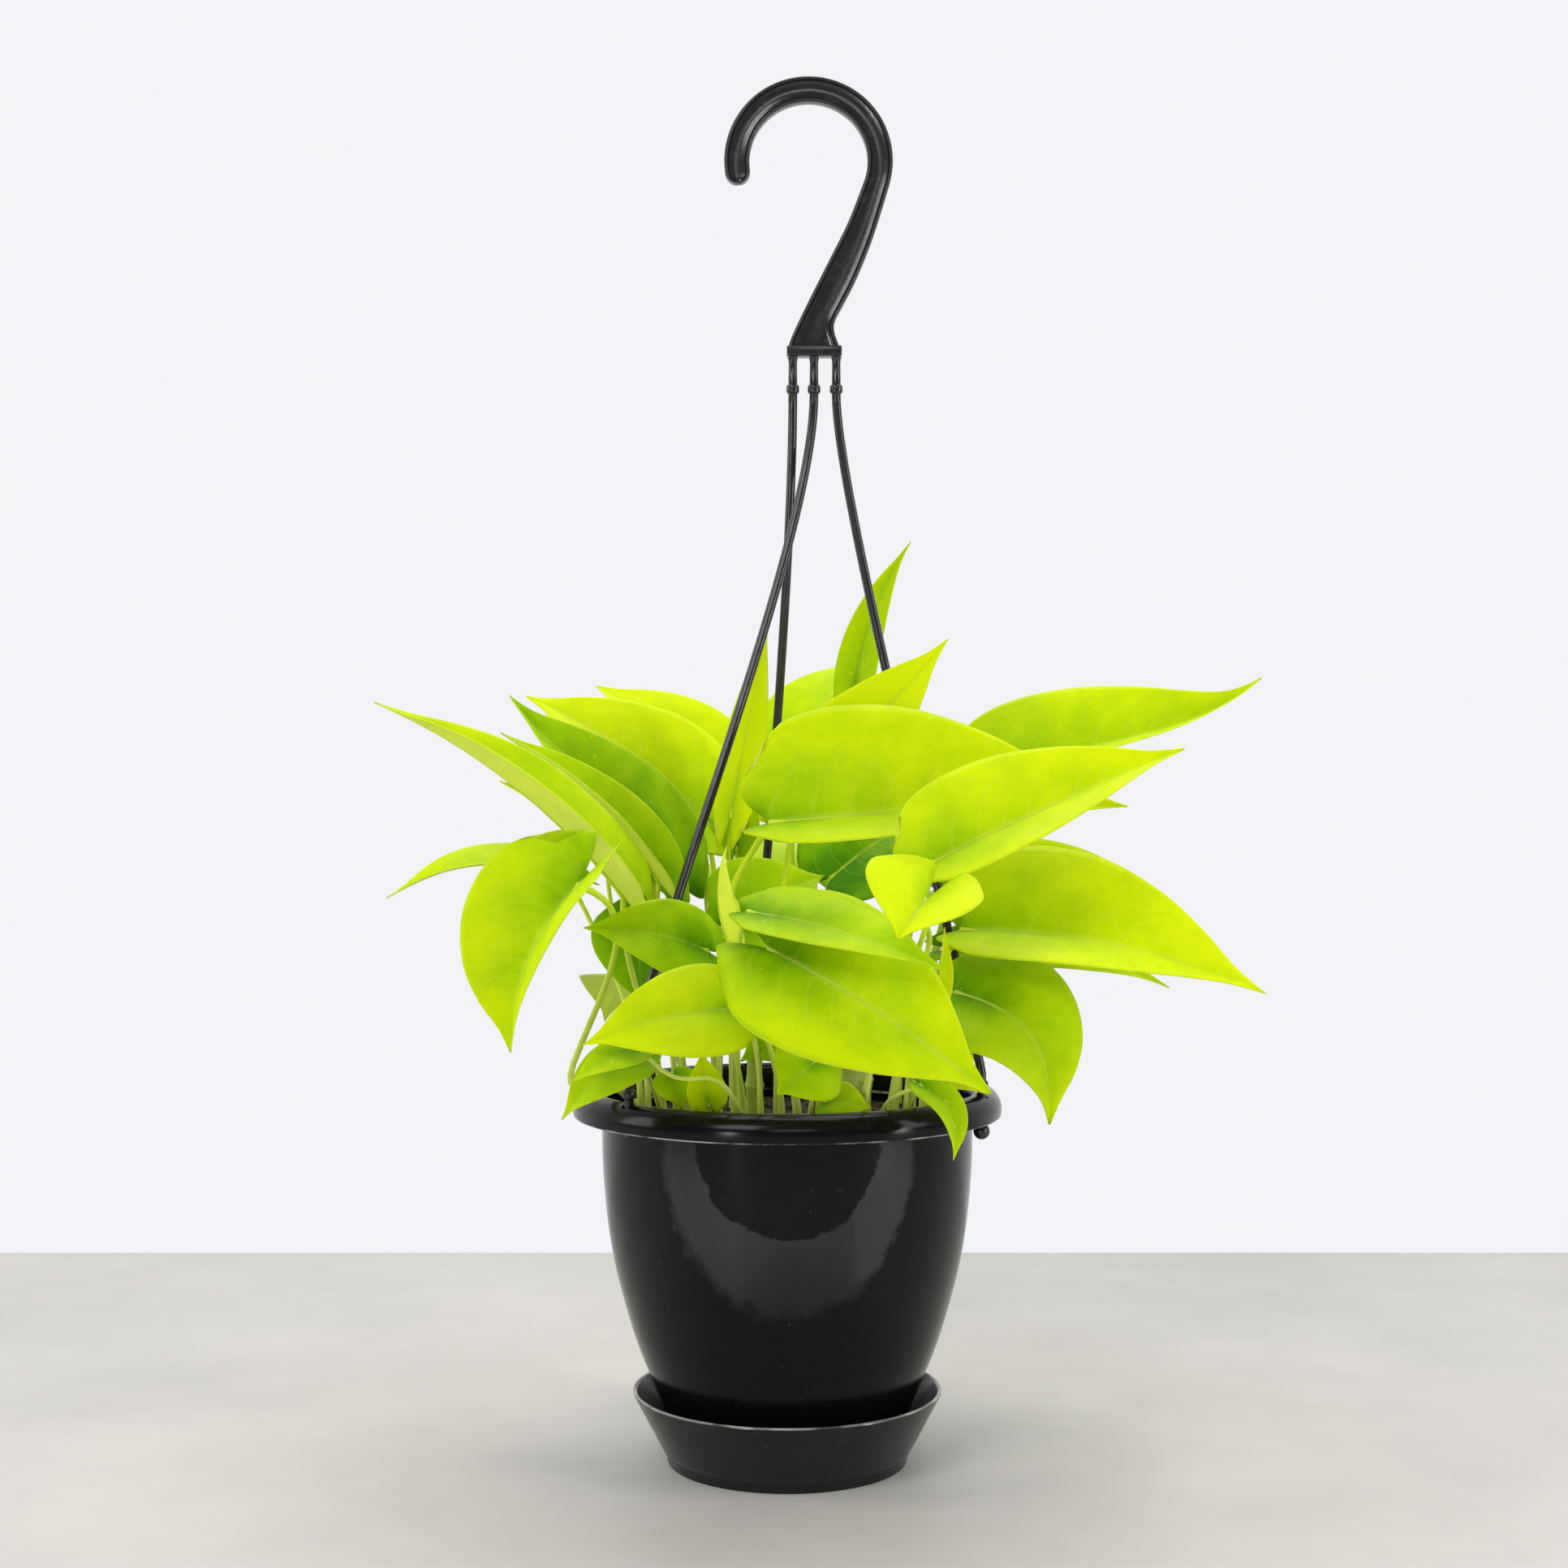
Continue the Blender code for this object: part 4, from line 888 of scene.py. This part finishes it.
def stalkLine(leaf, frameOf):
    base, length, axis, up, side = frameOf
    b = bladeShape
    slope = (midribPoint(leaf, frameOf, 0.06) - base).normalized()
    root = Vector((*leaf["root"], soilShape["level"] + soilShape["mound"] + soilShape["play"]))
    reach = (base - root).length
    bend = leaf.get("bend", b["bend"])
    knee = base - (slope * 0.5 + up * 0.65 + Vector((0, 0, 0.3))) * bend * reach
    radius = b["stalk"] * (0.55 + 0.45 * min(leaf["width"] / b["largeWidth"], 1.15))
    if "via" in leaf:
        via = Vector(leaf["via"])
        leave = root.lerp(via, 0.4) + Vector((0, 0, 0.18 * reach))
        corners = (root, leave, 2 * via - knee.lerp(via, 0.35), via)
        line = [bezierPoint(corners, step / b["viaSteps"]) for step in range(b["viaSteps"])]
        upper = (via, via + (via - corners[2]) * 0.9, knee, base)
        line += [bezierPoint(upper, step / b["viaSteps"]) for step in range(b["viaSteps"] + 1)]
    else:
        rise = root + Vector((0, 0, 0.42 * reach))
        steps = b["stalkSteps"]
        line = [bezierPoint((root, rise, knee, base), step / steps) for step in range(steps + 1)]
    radii = []
    for step in range(len(line)):
        share = step / (len(line) - 1)
        radii.append(radius * (1.45 - 0.55 * min(share * 3, 1) + 0.22 * max(0, (share - 0.93) / 0.07)))
    line[0] = line[0] - Vector((0, 0, 1.6))
    # the stalk runs on as the rib under the blade
    for step in range(1, b["ribSteps"] + 1):
        share = b["ribEnd"] * step / b["ribSteps"]
        line.append(midribPoint(leaf, frameOf, share) - up * 0.35 * (1 - share))
        radii.append(radius * (0.7 - 0.68 * share ** 0.5))
    return line, radii


# light goes a little way into leaf and stalk, and the gloss stays low
leafFlesh = {
    "upper": {"Subsurface Weight": 0.3, "Subsurface Radius": (0.9, 1, 0.06), "Subsurface Scale": 0.0025,
              "Specular IOR Level": 0.1, "Specular Tint": (0.85, 1, 0.2, 1)},
    "under": {"Subsurface Weight": 0.3, "Subsurface Radius": (0.9, 1, 0.1), "Subsurface Scale": 0.0025,
              "Specular IOR Level": 0.25},
    "stalk": {"Subsurface Weight": 0.25, "Subsurface Radius": (0.9, 1, 0.15), "Subsurface Scale": 0.003,
              "Specular IOR Level": 0.25},
}
veins = {"pairs": 11, "curve": 1.35, "sweep": 0.26}


# how far out from the midrib, 0 to 1, and how far from the base to the tip, 0 to 1
def bladeCoordinates(tree):
    flat = addNode(tree, "ShaderNodeUVMap", uv_map="UVMap")
    split = addNode(tree, "ShaderNodeSeparateXYZ")
    tree.links.new(flat.outputs["UV"], split.inputs[0])
    across = calc(tree, "ABSOLUTE", times(tree, calc(tree, "SUBTRACT", split.outputs["X"], 0.5), 2))
    return across, split.outputs["Y"]


# side veins leave the midrib, sweep towards the tip and fade out to reach
def veinPattern(tree, across, along, width, reach, faintest):
    curve = times(tree, calc(tree, "POWER", across, veins["curve"]), veins["sweep"])
    wave = calc(tree, "PINGPONG", times(tree, calc(tree, "SUBTRACT", along, curve), veins["pairs"]), 0.5)
    vein = remap(tree, wave, 0, width, 1, 0)
    vein = times(tree, vein, remap(tree, across, 0.05, reach, 1, faintest))
    return times(tree, vein, remap(tree, along, 0.6, 0.85, 1, 0))


def leafUpper():
    made, tree, shader = newMaterial("leafUpper", (0.5, 0.7, 0.01), 0.44, **leafFlesh["upper"])
    across, along = bladeCoordinates(tree)
    # each leaf's tone holds painted shade for leaves in shadow as well as the leaf's own colour
    leafTone = addNode(tree, "ShaderNodeAttribute", attribute_name="tone")
    vein = veinPattern(tree, across, along, 0.09, 0.95, 0.1)
    rib = times(tree, remap(tree, across, 0.012, 0.05, 1, 0), remap(tree, along, 0.7, 0.95, 1, 0))
    # yellow grows towards the margin and in soft patches
    cloud = objectNoise(tree, 60, 4, 0.6)
    patch = remap(tree, cloud, 0.3, 0.7, -0.1, 0.18)
    toMargin = remap(tree, across, 0, 1, -0.06, 0.14)
    toTip = remap(tree, along, 0, 1, -0.1, 0.1)
    amount = plus(tree, plus(tree, leafTone.outputs["Fac"], patch), plus(tree, toMargin, toTip))
    # deeper green where the stalk joins, partly the leaf's own colour and partly painted shade
    baseGreenAndShade = times(tree, remap(tree, along, 0, 0.3, -0.42, 0), remap(tree, across, 0, 0.7, 1, 0.1))
    amount = plus(tree, amount, baseGreenAndShade)
    ramp = addNode(tree, "ShaderNodeValToRGB")
    ramp.color_ramp.elements[0].color = (0.06, 0.24, 0.002, 1)
    ramp.color_ramp.elements[1].color = (0.64, 0.8, 0.003, 1)
    middle = ramp.color_ramp.elements.new(0.5)
    middle.color = (0.34, 0.56, 0.002, 1)
    tree.links.new(amount, ramp.inputs["Fac"])
    lighter = blendColours(tree, times(tree, vein, 0.1), ramp.outputs["Color"], (0.72, 0.82, 0.1))
    ribbed = blendColours(tree, times(tree, rib, 0.24), lighter, (0.62, 0.76, 0.1))
    # a thin paler rim along the edge: painted highlight where light shines through the thin margin
    paintedRimLight = remap(tree, across, 0.975, 1, 0, 0.3)
    withRimLight = blendColours(tree, paintedRimLight, ribbed, (0.7, 0.82, 0.1))
    speck = noiseBand(tree, 420, 1, 0.74, 0.8, 0, 0.4)
    paint(tree, shader, blendColours(tree, speck, withRimLight, (0.85, 0.9, 0.12)))
    rough = noiseBand(tree, 90, 3, 0.3, 0.7, 0.38, 0.54)
    tree.links.new(rough, shader.inputs["Roughness"])
    # puckered between the veins, sunk along them
    relief = plus(tree, times(tree, vein, -0.5), objectNoise(tree, 150, 2))
    relief = times(tree, relief, remap(tree, along, 0.75, 0.93, 1, 0))
    bumpFrom(tree, shader, relief, 0.3, 0.0006)
    return made


def leafUnder():
    made, tree, shader = newMaterial("leafUnder", (0.55, 0.68, 0.08), 0.5, **leafFlesh["under"])
    across, along = bladeCoordinates(tree)
    vein = veinPattern(tree, across, along, 0.1, 0.9, 0.15)
    # each leaf's tone holds painted shade for leaves in shadow as well as the leaf's own colour
    leafTone = addNode(tree, "ShaderNodeAttribute", attribute_name="tone")
    patch = noiseBand(tree, 60, 4, 0.3, 0.7, -0.15, 0.15)
    amount = plus(tree, leafTone.outputs["Fac"], patch)
    pale = blendColours(tree, amount, (0.38, 0.58, 0.03), (0.76, 0.88, 0.05))
    paint(tree, shader, blendColours(tree, times(tree, vein, 0.22), pale, (0.74, 0.86, 0.2)))
    relief = plus(tree, times(tree, vein, 0.8), objectNoise(tree, 150, 2))
    bumpFrom(tree, shader, relief, 0.25, 0.0006)
    return made


def stalkGreen():
    made, tree, shader = newMaterial("stalkGreen", (0.5, 0.62, 0.08), 0.42, **leafFlesh["stalk"])
    axes = splitAxes(tree)
    height = remap(tree, axes["Z"], 0.136, 0.23, 0, 1)
    streak = objectNoise(tree, 150, 3, 0.6, (1, 1, 0.12))
    amount = plus(tree, height, remap(tree, streak, 0.3, 0.7, -0.3, 0.3))
    body = blendColours(tree, amount, (0.62, 0.7, 0.16), (0.6, 0.78, 0.02))
    paint(tree, shader, body)
    bumpFrom(tree, shader, streak, 0.2, 0.0005)
    return made


# the tone holds painted shade for leaves in shadow as well as the leaf's own colour
def setTone(piece, tone):
    layer = piece.data.attributes.new("tone", "FLOAT", "POINT")
    layer.data.foreach_set("value", [tone] * len(piece.data.vertices))


def buildLeaf(node, leaf, number, finishes):
    seed = (number * 0.618) % 1
    frameOf = bladeFrame(leaf)
    rows, columns = bladeShape["rows"], bladeShape["columns"]
    deselectAll()
    bpy.ops.mesh.primitive_grid_add(x_subdivisions=columns, y_subdivisions=rows, size=2, calc_uvs=True)
    blade = bpy.context.object
    words = node.split("_")
    blade.name = "leaf" + "".join(word.capitalize() for word in words[1:])
    for point in blade.data.vertices:
        side, share = point.co.x, (point.co.y + 1) / 2
        point.co = bladePoint(leaf, frameOf, share ** 0.9, side, seed) * mm
    for finish in finishes:
        blade.data.materials.append(finish)
    skin = blade.modifiers.new("thickness", "SOLIDIFY")
    skin.thickness = bladeShape["thickness"] * mm
    skin.offset = 0
    skin.material_offset = 1
    applyModifiers(blade)
    bpy.ops.object.shade_smooth()
    setTone(blade, leaf["tone"])
    line, radii = stalkLine(leaf, frameOf)
    stalk = tubeAlong("stalk", line, radii, 4)
    stalk.data.materials.append(finishes[2])
    setTone(stalk, leaf["tone"])
    joinPieces([blade, stalk])
    finishPiece(blade, node)


stemSwells = (1.15, 1, 0.96, 1.18, 0.98, 0.95, 1.14, 0.92)  # from the foot up
stemSteps = 56
stems = {
    "vine_stem_left": {"foot": (-14, -14), "top": (-12, -18, 168), "radius": 3.2},
    "vine_stem_middle": {"foot": (24, -24), "top": (22, -30, 172), "radius": 3.4},
    "vine_stem_right": {"foot": (30, 10), "top": (31, 8, 166), "radius": 3.2},
}


def stemBark():
    made, tree, shader = newMaterial("stemBark", (0.4, 0.48, 0.08), 0.55)
    streak = objectNoise(tree, 120, 5, 0.65, (1, 1, 0.25))
    speck = noiseBand(tree, 500, 3, 0.6, 0.72, 0, 0.7)
    body = blendColours(tree, remap(tree, streak, 0.3, 0.7, 0, 1), (0.38, 0.54, 0.04), (0.62, 0.7, 0.16))
    paint(tree, shader, blendColours(tree, speck, body, (0.4, 0.34, 0.14)))
    bumpFrom(tree, shader, streak, 0.5, 0.001)
    return made


def buildStems():
    bark = stemBark()
    for name, stem in stems.items():
        foot = Vector((*stem["foot"], soilShape["level"] + soilShape["mound"] - 1.2))
        top = Vector(stem["top"])
        line, radii = [], []
        for step in range(stemSteps + 1):
            share = step / stemSteps
            at = share * (len(stemSwells) - 1)
            low = min(int(at), len(stemSwells) - 2)
            swell = stemSwells[low] + (stemSwells[low + 1] - stemSwells[low]) * (at - low)
            ring = 0.1 * math.exp(-(((share * 7) % 3 - 0.1) / 0.12) ** 2)  # leaf scars
            line.append(foot.lerp(top, share) + Vector((math.sin(share * 5), math.cos(share * 4), 0)) * 0.35)
            radii.append(stem["radius"] * (swell * 0.97 + ring))
        piece = tubeAlong(name.replace("vine_stem_", "stem").title().replace("Stem", "stem"), line, radii, 5)
        piece.data.materials.append(bark)
        finishPiece(piece, name)
    print("stems done")


def buildPlant():
    finishes = (leafUpper(), leafUnder(), stalkGreen())
    for number, (node, leaf) in enumerate(leaves.items()):
        buildLeaf(node, leaf, number, finishes)
    print("leaves done", len(leaves))
    buildStems()


buildStudio()
buildPot()
buildSaucer()
buildSoil()
buildHanger()
buildPlant()
